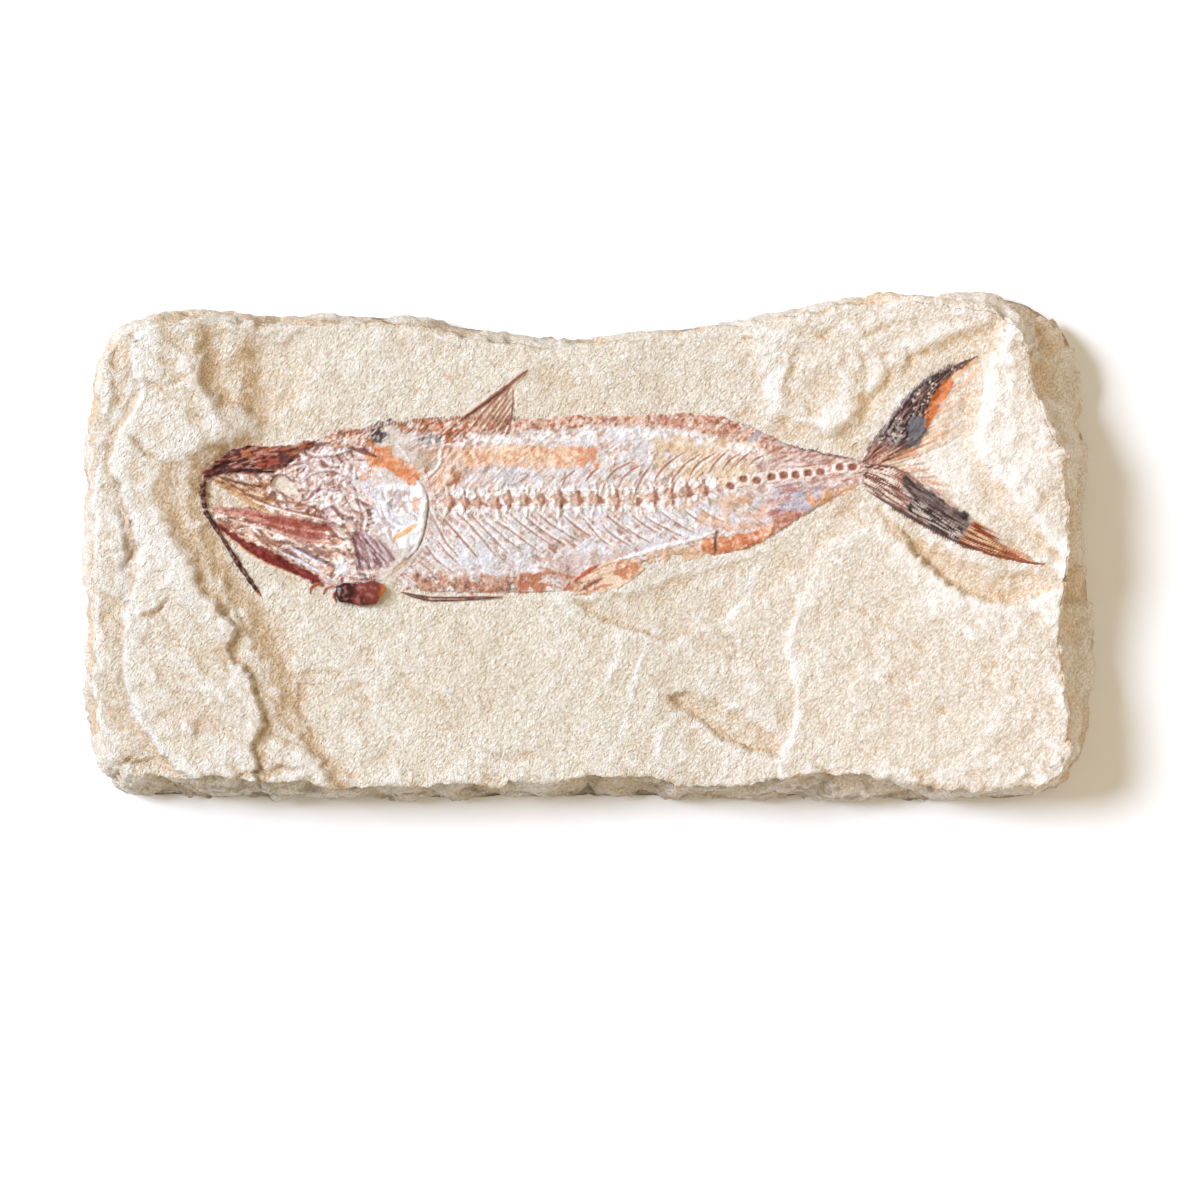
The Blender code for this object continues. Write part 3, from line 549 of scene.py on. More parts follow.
LOWER_RIGHT = path("61,2,5 57,-5,3 54,-12,1 53,-17,1 51,-23,1 50.5,-26.5,1 52,-30.5,1 52.5,-37,1 53,-45.5,1 "
    "50.5,-50.5,1.2 48,-55,1.5 46,-75,1.5 140,-75,1.5 140,-9,1.5 120.5,-9.5,3 110.5,-13,3 101,-14,1.5 "
    "90.5,-9,1 82.5,-1,1 74,5,3")
CHIP_HOLLOW = path("20,-38,1 26,-42.5,1 31,-47,1 37,-50.5,1 43,-52.5,1 49.5,-54,1 47,-49,5 40.5,-44,6 "
    "32.5,-40,6 26,-37.5,4")
BELLY_CUT = path("-4,-14.5,1 3,-19,1 9.5,-20,1 14.5,-22.5,1 20,-23.5,1 26,-22,1.5 34,-19,3 44,-13.5,4 "
    "55.5,-4,5 44,-2,5 13,-12,3 0.5,-14,2")
LOW_DISH = path("-73,-32.5,1.5 -65.5,-31,1.5 -59,-34.5,2 -55,-40,3 -56,-46.5,4 -62.5,-50,4 -70,-49,3 "
    "-74,-42,2")
STEPS = [
    (LEFT_RAMP, 2.0), (LEFT_BLOCK, 1.9), (LEFT_SHELF, -2.8), (SCOOP, -1.0), (TAIL_BANK, 1.5),
    (RIGHT_RISE, 2.4),
    (TAIL_TROUGH, -1.8), (LOWER_RIGHT, 0.7), (CHIP_HOLLOW, -1.3), (BELLY_CUT, -0.7), (LOW_DISH, -0.6),
]
print(len(STEPS), "ledges and hollows")

# %% [markdown]
# ## The fish's edges
#
# Each bone is drawn by two edges from head to tail, the same as in the solid model. They are needed here
# because they tell which bone each part of the film belongs to.

# %% Edges of the bones
SKULL_TOP = path("-97.2,18.2 -95.5,21.5 -93,23.5 -90,25 -84.5,25.8 -77.5,25.8 -72.5,26.5 -68,27.3 -60,28.8 "
    "-56.4,29.6")
SKULL_BOTTOM = path("-96.6,17 -95,15.8 -91,14 -87,11.2 -81.5,8.3 -73,6.5 -63.5,5 -56.4,4")
JAW_TOP = path("-95.8,9.4 -90.5,9.2 -86,8.4 -81,7.2 -73,5.4 -63.5,3.8 -57,2.8")
JAW_BOTTOM = path("-95.6,7.6 -92,3.4 -88,-0.4 -82.5,-3.7 -75.5,-6.2 -70,-7.8 -64,-8.9 -57,-9")
GILL_FRONT = path("-48,25.2 -52,23 -54.5,18 -55.4,12 -55.4,5 -55.2,-1 -54.2,-6 -52.5,-9.5")
GILL_REAR = path("-46.7,24.8 -42.7,21.2 -40.9,16.5 -40.4,10.3 -40.9,4 -42.7,-1 -45.7,-5.2 -49.8,-9")
BACK_TOP = path("-55.5,29.8 -49,31 -41.5,31.7 -34,32.5 -27.5,32.5 -19.5,32 -11,32.5 3,33.4 14.5,34.2 26,34 "
    "34,32.6 40.5,30.6 45.5,28.3 51.5,25.6 59,23.8 64.5,22.6 69.5,21.8")
BACK_BOTTOM = path("-55.5,27.5 -52,25.9 -46,25.8 -41.8,21.9 -39.8,16.5 -39,13 -32.5,12.6 -22.5,14 -7,13.7 "
    "5.5,13.7 13,14.2 23.5,15.9 33.5,17.1 44,18.7 54,19.9 61.5,20.6 69.5,21")
BACKBONE = path("-38.6,10.8 -32.5,10.6 -22.5,12 -7,11.8 5.5,11.8 13,12.3 23.5,14.1 33.5,15.4 44,17.1 "
    "54,18.4 61.5,19.2 69.5,19.7")
BELLY_TOP = path("-49.2,-9.8 -45,-5.9 -41.9,-1.2 -39.9,4 -39.2,8.6 -32.5,8.6 -22.5,10 -7,9.9 5.5,9.9 "
    "13,10.4 23.5,12.3 33.5,13.7 44,15.5 54,16.9 61.5,17.8 69.5,18.4")
BELLY_BOTTOM = path("-51,-11.5 -47.5,-12 -44,-11.6 -36,-11.5 -22.5,-11.5 -13.5,-10.9 -6,-9.5 0.5,-6.5 "
    "7,-3.7 14.5,-2.3 23.5,-1.3 34.5,-1.3 40,0.7 46.5,3.4 52,6.2 57,9.3 62,12.3 66.5,14.6 69.5,15.9")
DORSAL_LEAD = path("-32.6,33.5 -27.4,37 -22.4,40.8 -18,43.6")
DORSAL_TRAIL = path("-20.4,33.2 -19.8,36.5 -19,40 -17.6,43.2")
PELVIC_TOP = path("-47.3,-12.7 -40,-12.5 -30,-12.3 -21.5,-12.7")
PELVIC_BOTTOM = path("-47.3,-13.1 -40,-14.2 -30,-14.1 -21.5,-13.1")
ANAL_TOP = path("-3.8,-9.9 1.2,-7.4 6.5,-4.9 12.3,-3.2")
ANAL_BOTTOM = path("-4.2,-11.8 2.5,-11.2 8.5,-9.8 13,-5.6")
TAIL_UPPER_OUTER = path("70.2,22 72,24.6 75.5,29.4 80,35 84.5,40.5 88.5,43.8 92.5,46.2 96,47.6 99,48.4")
TAIL_UPPER_INNER = path("70.2,19.2 77,20.6 81.5,23.3 84.5,27 87,32 89.5,36.5 92.5,40.8 96,45 99.3,47.8")
TAIL_LOWER_INNER = path("70.2,18.6 77,18.9 82.5,17.7 87,15.2 91,12.6 95,9.8 99.5,7 104.5,3.7 110,0.2 "
    "116.6,-3.3")
TAIL_LOWER_OUTER = path("70.2,15.4 73,12.7 78,9.4 83.5,5.6 88.5,2.3 93.5,0 98.5,-1.9 104.5,-3.6 110,-4.5 "
    "116.6,-4")
LUMP_CENTRE = (-57.9, -12.7)
LUMP_RADII = (5.9, 2.8, 1.5)
BED_HEIGHT = 17.6


def loop(first_edge, second_edge):
    """The closed outline between two edges."""
    return list(first_edge) + list(reversed(second_edge))


print("the skull's outline has", len(loop(SKULL_BOTTOM, SKULL_TOP)), "points")

# %% Outlines of the fossil film
# The film is one piece over head and body; the fins and the faint rays behind the tail lie beside it.
BODY = path("-98.2,17.7 -96.5,20.2 -93.7,22.2 -91.9,24 -88.9,25 -85.6,25.3 -80.8,25 -77.7,25.3 -74.4,25.5 "
    "-71.9,26.5 -67.3,27.3 -64.8,29.1 -61.7,29.3 -58.4,29.1 -55.1,30.4 -53.3,30.9 -50.5,30.9 -49,32.1 "
    "-45.7,31.4 -42.2,32.4 -37.3,32.1 -33.5,32.6 -27.4,32.4 -19.3,32.4 -10.9,32.6 -2.8,33.1 5.3,32.9 "
    "14.5,33.5 25.9,33.7 34,32.6 40.6,30.6 45.7,28.3 51.3,25.3 58.9,23.7 64.5,22.5 69.6,22 70.9,19.2 "
    "70.1,15.4 66.5,14.4 62,12.1 56.9,9 51.8,6 47.5,3.2 43.7,0.9 38.6,-0.9 33.5,-2 29.2,-1.9 25.9,-1.9 "
    "18.3,-2.7 14.5,-3.7 10.7,-5.2 5.6,-6.7 0.5,-9.3 -2,-11.3 -7.1,-11.6 -13.5,-11.8 -22.4,-11.8 -30,-11.8 "
    "-36.3,-11.8 -41.4,-11.3 -46.5,-10.5 -49.8,-9.3 -52.8,-9 -59.9,-9.8 -64.3,-10.3 -67.6,-10.5 -71.1,-9.5 "
    "-75.7,-6.7 -81.3,-4.2 -85.9,-1.7 -89.4,1.1 -92.5,3.9 -95,7 -96.5,9.3 -91.4,9.5 -86.6,9.4 -85.9,10 "
    "-87.6,11.6 -90.4,13.3 -93,14.6 -95.5,15.6 -97.8,16.6")
UPPER_LOBE = path("68.6,21.5 71.1,25.3 74.2,29.1 77.2,33.1 79.5,36.2 82,39.2 84.6,41.5 87.1,43.6 90.2,45.3 "
    "93.2,46.9 95.8,47.6 99.1,48.4 100.1,46.6 100.6,40.8 99.6,34.4 96.5,29.3 91.4,25.5 85.6,23 80.5,21.2 "
    "75.4,19.9 70.6,18.9")
LOWER_LOBE = path("70.6,21.2 75.4,21.2 80.5,20.7 85.6,19.2 90.7,16.4 95.8,13.3 100.8,9.8 105.9,6 111,1.9 "
    "115.3,-1.4 117.1,-3.9 116.1,-5.2 109.7,-4.2 105.4,-3.2 100.8,-1.9 96.5,-0.4 91.9,1.4 88.1,3.4 84.3,5.7 "
    "80.5,8 76.7,10.3 73.2,12.3 69.6,15.1")
DORSAL = path("-33,31.4 -31.5,33.1 -28.4,35.2 -25.4,37.5 -20.6,41 -16.8,44.1 -15,44.8 -15.5,43.3 -18,40.8 "
    "-18.8,39 -18.8,35.9 -19.3,32.4 -20.1,30.4 -27.4,30.4")
ANAL = path("-4.3,-9.3 -2,-7 2.3,-4.4 6.1,-3.7 10.2,-3.2 13.5,-4.2 14,-6.2 11.4,-8.8 8.4,-10.5 4.8,-11.6 "
    "0.5,-12.6 -3.3,-12.6")
PELVIC = path("-48.5,-11.6 -44.7,-12.3 -40.9,-13 -35.3,-13 -28.7,-12.7 -21.6,-12.7 -22.1,-13.6 -28.7,-14 "
    "-35.3,-14.2 -40.9,-14.2 -45.2,-13.1")
FILM_OUTLINES = [BODY, UPPER_LOBE, LOWER_LOBE, DORSAL, ANAL, PELVIC]
print("film outlines have", sum(len(outline) for outline in FILM_OUTLINES), "corners")

# %% [markdown]
# ## The split face
#
# Its height at a point is the sum of the ledges, each a smooth step across its outline, and of random relief
# of many sizes. Ledge lines are pushed about by noise first, because a broken edge is never a smooth curve.
# Limestone also breaks in thin leaves, so part of the random relief is rounded to whole leaves, which gives
# small terraces.

# %% Cracks, cuts and ridges
# Fine lines in the face: points, width and depth; a negative depth is a ridge.
FINE_LINES = [
    ("-98.6,54.7 -98.3,51.4 -99.6,46.6 -100.8,42.8", 0.5, 0.5),
    ("-101.1,43.6 -99.3,40.8 -96.5,38.2 -93,36.2 -88.4,33.9 -82.8,32.9 -78.7,33.4", 0.45, 0.3),
    ("53.8,-11.3 53.8,-16.4 51.3,-21.5 50.8,-26.5 52.1,-31.6 53.3,-39.2", 0.5, -0.1),
    ("58.4,-12.6 64,-14.4 71.6,-18.2 81.8,-22.7", 0.35, 0.35),
    ("33,-22 38.1,-26.5 36.1,-30.4 36.6,-34.2", 0.4, 0.7),
    ("45,-3.7 39.9,-11.3 33.5,-20.2", 0.6, -0.12),
    ("8.1,-20.2 7.6,-26.5 3,-39.2", 0.8, -0.15),
    ("13.2,-29.1 10.7,-39.2 8.1,-49.4 3,-54.5", 0.6, -0.12),
    ("22.6,-42.3 18.3,-48.1 17.5,-54.5 19.6,-59.6", 0.7, -0.15),
    ("-4.1,-14.6 -1.8,-17.1 3,-19.2 9.4,-20.2 14.7,-22.5 19.8,-23.7 25.9,-22", 0.45, 0.45),
    ("-115.1,-19.4 -108.7,-16.9 -104.9,-13.1", 0.6, 1.0),
    ("-115.6,28.1 -112.5,23.7 -108.7,21.7", 0.5, 0.9),
    ("-115.1,42.5 -107.4,40 -102.4,43.3", 0.6, 0.8),
    ("-90.9,-13.8 -86.4,-21 -82.8,-26.5 -87.6,-26", 0.5, 0.5),
    ("103.4,45.1 105.9,44.3 108.5,44.6", 0.5, 0.8),
    ("99.6,25.5 104.6,22.2 109.7,17.1 114.8,11.6", 0.9, -0.9),
    ("104.6,21.7 107.2,19.7 108.7,17.1", 1.0, 0.7),
    ("-124,-57 -116.3,-55.2 -108.7,-53.7", 0.5, 1.0),
    ("-104.1,-58.3 -94.7,-60.1 -83.3,-57.5 -71.9,-56.5", 0.5, 0.8),
    ("38.6,-60.8 46.2,-59.6 58.9,-58.3 69.1,-56.5", 0.5, 0.8),
    ("69.1,50.9 71.1,44.6 70.6,39", 1.3, 0.7),
    ("74.7,49.7 76.7,44.1 75.7,40", 1.2, 0.8),
    ("80.5,50.9 81.8,46.6 80.8,43.1", 1.0, 0.7),
    ("52.6,54.7 50,42 46.2,31.9", 0.8, -0.5),
    ("53.8,54.7 58.9,53.5 63,54.5", 1.0, 0.8),
    ("65.3,54.7 71.6,54 79.2,56 89.4,56.8", 0.8, 0.5),
    ("-56.6,-26 -55.1,-28.6 -54.4,-31.1", 1.6, 0.7),
    ("-124.5,50.9 -121.4,40.8 -122.9,30.6", 0.7, -0.7),
    ("-118.9,50.9 -120.9,47.1 -118.4,44.1", 0.8, 0.7),
    ("-120.9,3.9 -115.1,0.1 -117.6,-6.7", 1.6, 1.2),
    ("-102.4,42.5 -97.3,38.2 -93.5,31.9 -89.7,30.6", 1.0, -0.7),
    ("-82.8,-46.9 -78.2,-46.1 -73.2,-48.9 -71.1,-51.9", 0.5, -0.6),
    ("-82.8,-58.3 -77,-57.5 -72.4,-56", 0.6, 0.9),
    ("-27.4,-51.4 -19.8,-54.5 -9.7,-53.7", 0.7, 0.6),
    ("-65.5,-39.2 -59.9,-36.7 -54.9,-39.2", 1.2, 0.4),
    ("89.9,-41.3 90.9,-42.8", 0.8, 0.9),
    ("99.6,-6.7 107.2,-8.8 117.3,-8.3", 0.5, 0.4),
    ("102.1,-10.8 109.7,-11.8 119.9,-10.3", 0.5, 0.4),
    ("-12.2,50.9 -2,49.1 13.2,49.7", 0.9, 0.3),
    ("-45.2,54.7 -37.6,50.9 -22.4,49.7", 0.8, 0.4),
    ("-88.4,50.9 -82.8,47.1 -83.8,38.2", 0.9, 0.5),
    ("-73.2,54.7 -77,49.7 -75.7,44.1", 0.8, 0.4),
]


# Chalky ridges down the left end and along scraped edges: points and width.
VEINS = [
    ("-115.6,52.7 -115.1,43.3 -117.6,36.2 -121.2,31.1", 0.7),
    ("-114.3,47.1 -112.8,38 -115.8,31.9 -116.8,25.8 -118.6,21.5", 0.8),
    ("-121.9,29.3 -126.2,25 -129,17.1", 0.6),
    ("-119.4,33.7 -123.2,25.8 -124.2,17.1 -126.2,6.7", 0.6),
    ("-116.3,24.3 -117.3,15.4 -114.3,8.5 -112.8,-0.1 -115.6,-6.2", 0.7),
    ("-121.2,13.8 -119.4,6.7 -118.6,-1.1 -117.3,-9.8 -118.6,-18.4", 0.7),
    ("-123.4,13.8 -125,1.7 -123.7,-7.2", 0.6),
    ("-126.2,18.9 -127.5,1.7 -127.3,-15.9", 0.6),
    ("-120.1,1.4 -119.1,-6.7 -117.6,-16.6 -117.6,-31.6 -115.1,-41.8 -110,-48.6 -105.2,-54.7 -101.1,-58.8",
        0.9),
    ("-111.3,1.4 -108.7,-4.2 -104.9,-8.3 -108.7,-11.3", 0.6),
    ("-124.2,-11.6 -125,-23.5 -123.2,-31.6", 0.6),
    ("-126,-34.2 -124,-44.3 -119.4,-50.7", 0.7),
    ("8.1,-20.2 7.6,-26.5 4.6,-36.7", 0.9),
    ("17.5,-21 13.2,-29.1 10.7,-39.2 8.1,-49.4 4.1,-55.8", 0.6),
    ("22.6,-42.3 18.3,-48.1 17.5,-54.5 19.6,-59.6", 0.8),
    ("53.8,-11.8 53.6,-16.9 50.8,-23 50.3,-26.5 52.1,-30.6 52.6,-37.2 53.1,-45.6 50.5,-50.7 47.8,-55", 0.7),
    ("45,-3.7 39.9,-11.3", 0.9),
    ("41.1,-11.3 37.3,-16.4 33.5,-20.2", 0.7),
    ("105.9,54.7 106.7,49.1 107.7,40.8 106.2,34.4", 1.6),
    ("46.2,54.7 48.3,46.6 45,37 46.2,30.6", 1.5),
    ("99.6,25.5 104.6,22.2 109.7,17.1 114.8,11.6", 1.0),
    ("111,-1.7 117.3,-3.7 121.9,-7.5", 1.2),
]


def terraces(value, leaf, sharp):
    """A smooth value rounded to whole leaves, each leaf mm thick; sharp is how narrow the step between two
    is."""
    scaled = value / leaf
    whole = np.floor(scaled)
    return leaf * (whole + smooth_step((scaled - whole - 0.5) * sharp + 0.5))


def plain_share(x, y):
    """1 on the quiet ground and in the scoop, 0 at the broken left end, in the flutes and beside the tail."""
    left = smooth_step((x + 92 + 0.25 * y) / 14)
    bottom = smooth_step((y + 60) / 6)
    flutes = bump_at(np.hypot((x - 62) / 22, (y - 40) / 13), 0.0, 1.0)
    beside = 0.6 * smooth_step((x - 96) / 10)
    scooped = smooth_step((signed_distance(x, y, SCOOP)[0] + 3) / 4)
    return np.maximum(left * bottom * (1 - flutes) * (1 - beside), scooped)


def face_height(x, y):
    """Height of the split face in mm: level + ledges + fine lines + leaves + facets + lumps."""
    wide_x = x + 0.8 * rough(x, y, 6.0, 41) + 0.3 * relief_noise(x, y, 1.5, 43) + 0.9 * facets(x, y, 3.5,
        45)
    wide_y = y + 0.8 * rough(x, y, 6.0, 51) + 0.3 * relief_noise(x, y, 1.5, 53) + 0.9 * facets(x, y, 3.5,
        55)
    height = FACE_HEIGHT + 0.45 * relief_noise(x, y, 17.0, 3) + 0.3 * relief_noise(x, y, 6.5, 5)
    for outline, rise in STEPS:
        distance, width = signed_distance(wide_x, wide_y, outline)
        height = height + rise * smooth_step(distance / (0.75 * width) + 0.5)
    for line, width, depth in FINE_LINES:
        distance, along = line_distance(wide_x, wide_y, path(line))
        height = height - depth * bump_at(distance, 0.0, width) * thinning(along)
    vein_patches = 0.06 + 0.35 * smooth_step(0.5 + 1.5 * relief_noise(x, y, 5.0, 57))
    for line, width in VEINS:
        distance, along = line_distance(wide_x, wide_y, path(line))
        height = height + vein_patches * bump_at(distance, 0.0, width) * thinning(along)
    quiet = plain_share(x, y)
    leaves = terraces(2.2 * rough(x + 0.5 * y, y, 15.0, 61, 4), 0.55, 5.0)
    height = height + leaves * (0.1 + 0.4 * (1 - quiet))
    broken = facets(x + 0.3 * y, y, 9.0, 67) + 0.5 * facets(x, y + 0.4 * x, 4.0, 69)
    height = height + (0.12 + 0.5 * (1 - quiet)) * broken
    ridged = np.abs(rough(x - 0.4 * y, y + 0.3 * x, 7.0, 65, 4))
    height = height + (0.42 - 0.2 * quiet) * (0.25 - ridged)
    height = height + 0.2 * relief_noise(x, y, 2.3, 71) + 0.14 * relief_noise(x + 0.5 * y, 1.6 * y, 1.5, 73)
    return height


print("face height at the middle:", np.round(face_height(np.array([0.0]), np.array([-40.0]))[0], 2))

# %% [markdown]
# ## Mesh of the stone
#
# The rim is cut at four corners into a lower, right, upper and left stretch. A point of the grid at the
# shares u and v is blended from the four stretches, less the blend of the corners, which makes the grid meet
# the rim exactly. The sides are more rings of points, walked from the rim out to the silhouette and down to
# the flat underside, and pushed in by beds and flake scars, which are noise that is flat along the bedding.

# %% Rim and silhouette
COLUMNS, ROWS, RINGS = 372, 186, 20
COARSE_POINTS, RIM_POINTS = 190, 4000  # of the outline, before it is cut at the corners
BASE_INSET = 1.2
KEEP_IN = 0.15                     # the silhouette stays this far inside the solid model's
FACE_REACH, FILM_REACH = 2, 5      # steps of the face's grid and of the film's lattice in about 1.4 mm
CORNERS = path("-123,-61.5 123,-61 117,60.5 -121,57")

coarse = rounded(SLAB_OUTLINE, COARSE_POINTS, closed=True)
coarse_rim = offset(coarse[:, :2], coarse[:, 2] + 0.5)
for _ in range(3):
    coarse_rim = 0.5 * coarse_rim + 0.25 * (np.roll(coarse_rim, 1, axis=0) + np.roll(coarse_rim, -1,
        axis=0))
inwards = offset(coarse[:, :2], 1.0) - coarse[:, :2]
ring = rounded(np.column_stack([coarse[:, :2] + KEEP_IN * inwards, coarse_rim, inwards, coarse[:, 2]]),
    RIM_POINTS, closed=True)
starts = [int(np.hypot(*(ring[:, :2] - corner).T).argmin()) for corner in CORNERS]
ring = np.roll(ring, -starts[0], axis=0)
ring = np.vstack([ring, ring[:1]])
starts = [(start - starts[0]) % RIM_POINTS for start in starts] + [RIM_POINTS]
counts = [COLUMNS - 1, ROWS - 1, COLUMNS - 1, ROWS - 1]
ring = np.vstack([resample(ring[a:b + 1], n + 1)[:-1] for a, b, n in zip(starts, starts[1:], counts)])
silhouette, rim, inwards, lean = ring[:, :2], ring[:, 2:4], ring[:, 4:6], ring[:, 6]
chips = 1.2 * np.abs(rough(*silhouette.T, 8.0, 81, 4)) + 0.3 * relief_noise(*silhouette.T, 1.5, 83)
chips = chips + 1.2 * facets(*silhouette.T, 7.0, 85)
nicks = np.abs(rough(*silhouette.T, 5.0, 87, 3)) + 0.5 * facets(*silhouette.T, 6.0, 89)
silhouette = silhouette + inwards * np.clip(0.9 * nicks, 0, 0.8)[:, None]
rim = rim + inwards * chips[:, None]
print("rim has", len(rim), "points; the sides lean in by", lean.min().round(1), "to", lean.max().round(1),
    "mm")

# %% Face
def blended_grid(rim, counts):
    """The grid of the face: blend of the lower and upper stretches, plus left and right, less the corners."""
    lower = rim[:counts[0] + 1]
    right = rim[counts[0]:counts[0] + counts[1] + 1]
    upper = rim[counts[0] + counts[1]:sum(counts[:3]) + 1][::-1]
    left = np.vstack([rim[sum(counts[:3]):], rim[:1]])[::-1]
    u = np.linspace(0, 1, COLUMNS)[:, None, None]
    v = np.linspace(0, 1, ROWS)[None, :, None]
    across = (1 - v) * lower[:, None] + v * upper[:, None]
    along = (1 - u) * left[None] + u * right[None]
    corners = (1 - u) * (1 - v) * lower[0] + u * (1 - v) * lower[-1] + u * v * upper[-1] + (1 -
        u) * v * upper[0]
    return across + along - corners


def edge_tones(height, reach):
    """How much chalk with painted highlight and how much tan painted shade each point of a height grid gets:
    chalk and highlight where it stands out, painted shade where it is hollow, steep, or falling to the right,
    away from the key lamp. Reach is the number of grid steps in about 1.4 mm."""
    bend = np.zeros(height.shape)
    for steps, share in ((reach, 1.0), (3 * reach, 0.5), (7 * reach, 0.3)):
        padded = np.pad(height, steps, mode="edge")
        around = (padded[2 * steps:, steps:-steps] + padded[:-2 * steps, steps:-steps]
                  + padded[steps:-steps, 2 * steps:] + padded[steps:-steps, :-2 * steps])
        bend = bend + share * (height - around / 4.0)
    slope = np.hypot(*np.gradient(height)) * reach / 1.4
    padded = np.pad(height, ((2 * reach, 2 * reach), (0, 0)), mode="edge")
    # painted shade: tan where the ground falls to the right, away from the key lamp, and in hollows and on
    # steep slopes
    falling = smooth_step(((padded[:-4 * reach] - padded[4 * reach:]) / 5.6 - 0.04) / 0.24)
    tan = 0.45 * smooth_step((-bend - 0.05) / 0.6) + 0.4 * smooth_step((slope - 0.12) / 0.5) + 0.6 * falling
    # chalk on what stands out is partly a painted highlight
    return 0.5 * smooth_step((bend - 0.1) / 0.5), np.minimum(tan, 0.9)


grid = blended_grid(rim, counts)
face_x, face_y = grid[..., 0], grid[..., 1]
face_z = face_height(face_x, face_y)
edge_in = np.minimum(np.minimum(np.arange(COLUMNS), np.arange(COLUMNS)[::-1])[:, None],
                     np.minimum(np.arange(ROWS), np.arange(ROWS)[::-1])[None, :])
face_z = face_z - 0.6 * bump_at(edge_in, 0.0, 1.8) * (1 + relief_noise(face_x, face_y, 3.0, 91))
face_z = np.minimum(face_z, cad_box[1][2] / MM - 0.1)
# chalk with painted highlight, and tan painted shade, of the face
face_chalk, face_hollow = edge_tones(face_z, FACE_REACH)


def vein_chalk(x, y):
    """How chalky the veins make each point; they fade in and out along their way."""
    total = 0.0
    for line, width in VEINS:
        distance, along = line_distance(x, y, path(line))
        patchy = smooth_step(0.7 + 1.6 * rough(x, y, 4.0, 95))
        total = np.maximum(total, bump_at(distance, 0.0,
            1.2 * width) * patchy * (4 * along * (1 - along)) ** 0.25)
    return 0.85 * total


BETWEEN_LOBES = path("80.5,23 89.4,34.4 98.3,44.1 107.2,50.9 112.3,37 116.1,19.2 117.3,1.4 107.2,3.9 "
    "98.3,10.3 90.7,15.4 83.1,19.7")
face_chalk = np.maximum(face_chalk, vein_chalk(face_x, face_y))
whitish = smooth_step(signed_distance(face_x, face_y, BETWEEN_LOBES)[0] / 6 + 0.5)
whitish = whitish * smooth_step(0.75 + 1.2 * rough(face_x, face_y, 6.0, 96))
face_chalk = np.maximum(face_chalk, 0.34 * whitish)
under_fish = depth_in(face_x, face_y, FILM_OUTLINES)
face_z = face_z - 0.5 * smooth_step((under_fish - 0.3) / 0.9)

# %% Sides and underside
border = np.concatenate([
    np.arange(COLUMNS - 1) * ROWS,
    (COLUMNS - 1) * ROWS + np.arange(ROWS - 1),
    np.arange(COLUMNS - 1, 0, -1) * ROWS + ROWS - 1,
    np.arange(ROWS - 1, 0, -1),
])
top = np.column_stack([face_x.ravel(), face_y.ravel(), face_z.ravel()])
rim_height = top[border, 2]
levels, points = [border], [top]
chalk, hollow, dirt = [face_chalk.ravel()], [face_hollow.ravel()], [np.zeros(len(top))]
lengths = np.hypot(*(np.roll(silhouette, -1, axis=0) - silhouette).T)
way = np.concatenate([[0.0], np.cumsum(lengths)[:-1]])
front = smooth_step((-60.0 - silhouette[:, 1]) / 3.0)
total = len(top)
for k in range(1, RINGS + 1):
    share = k / RINGS
    height = rim_height * (1 - share)
    out = 1 - np.clip(1 - share / 0.8, 0, 1) ** 1.4
    wave = np.sin(2 * np.pi * (1.1 * out + 0.8 * relief_noise(way, 0 * way, 30.0, 109)))
    out = np.clip(out + 0.11 * wave * smooth_step(4 * share * (1 - share)) * smooth_step((lean - 3) / 3),
        0, 1)
    under = BASE_INSET * smooth_step((share - 0.78) / 0.22)
    panel = facets(way, 1.15 * height + 40, 13.0, 101, 9.0)
    scars = panel + 0.35 * facets(way + height, 1.4 * height, 4.5, 103)
    beds = rough(way / 7, height * 1.1, 2.4, 105, 3)
    loose = smooth_step(share / 0.06) * smooth_step((1 - share) / 0.08)
    depth = loose * np.maximum(1.1 + 4.6 * scars + 0.5 * beds,
        0) * (1 - 0.55 * out * smooth_step((5.5 - lean) / 3)) + under
    depth = depth + 0.35 * loose * np.abs(relief_noise(way, height, 1.6, 107))
    level = rim + (silhouette - rim) * out[:, None] + inwards * depth[:, None]
    wander = 0.3 * relief_noise(*silhouette.T, 6.0, 121 + k) * loose
    points.append(np.column_stack([level, np.maximum(height + wander, 0.0) if k < RINGS else 0 * height]))
    # chalk with painted highlight on the crests of the wall's waves
    chalk.append(0.15 * smooth_step((wave - 0.2) / 0.6) * (1 - 0.5 * share))
    # painted tan shade on the facets of the sides, less of it on the front side
    hollow.append((0.22 + 0.62 * smooth_step((panel - 0.1 * wave + 0.05) / 0.2)) * (1 - 0.5 * front)
                  * smooth_step(share / 0.15))
    # painted deep shade in the bedding cracks, and on the front side towards its foot
    dirt.append((0.12 + 0.45 * front) * bump_at(beds, 0.12, 0.07) * smooth_step(share / 0.3)
                + 0.35 * front * smooth_step((share - 0.62) / 0.25))
    levels.append(np.arange(total, total + len(border)))
    total += len(border)
faces = [grid_faces(COLUMNS, ROWS)]
faces += [np.column_stack([a, b, np.roll(b, -1), np.roll(a, -1)]) for a, b in zip(levels, levels[1:])]
stone_faces = [list(face) for block in faces for face in block] + [list(levels[-1][::-1])]
all_x, all_y = np.vstack(points)[:, 0], np.vstack(points)[:, 1]
stain = 0.35 * bump_at(np.hypot((all_x + 101) / 9, (all_y + 45) / 3.5), 0.0, 1.0)
stain = stain * smooth_step(0.8 + 1.5 * rough(all_x, all_y, 2.5, 97))
fleck_place = np.hypot((all_x + 35.8) / 1.6, (all_y - 43 + 0.5 * (all_x + 35.8)) / 0.5)
stain = np.maximum(stain, smooth_step(1.4 - fleck_place))
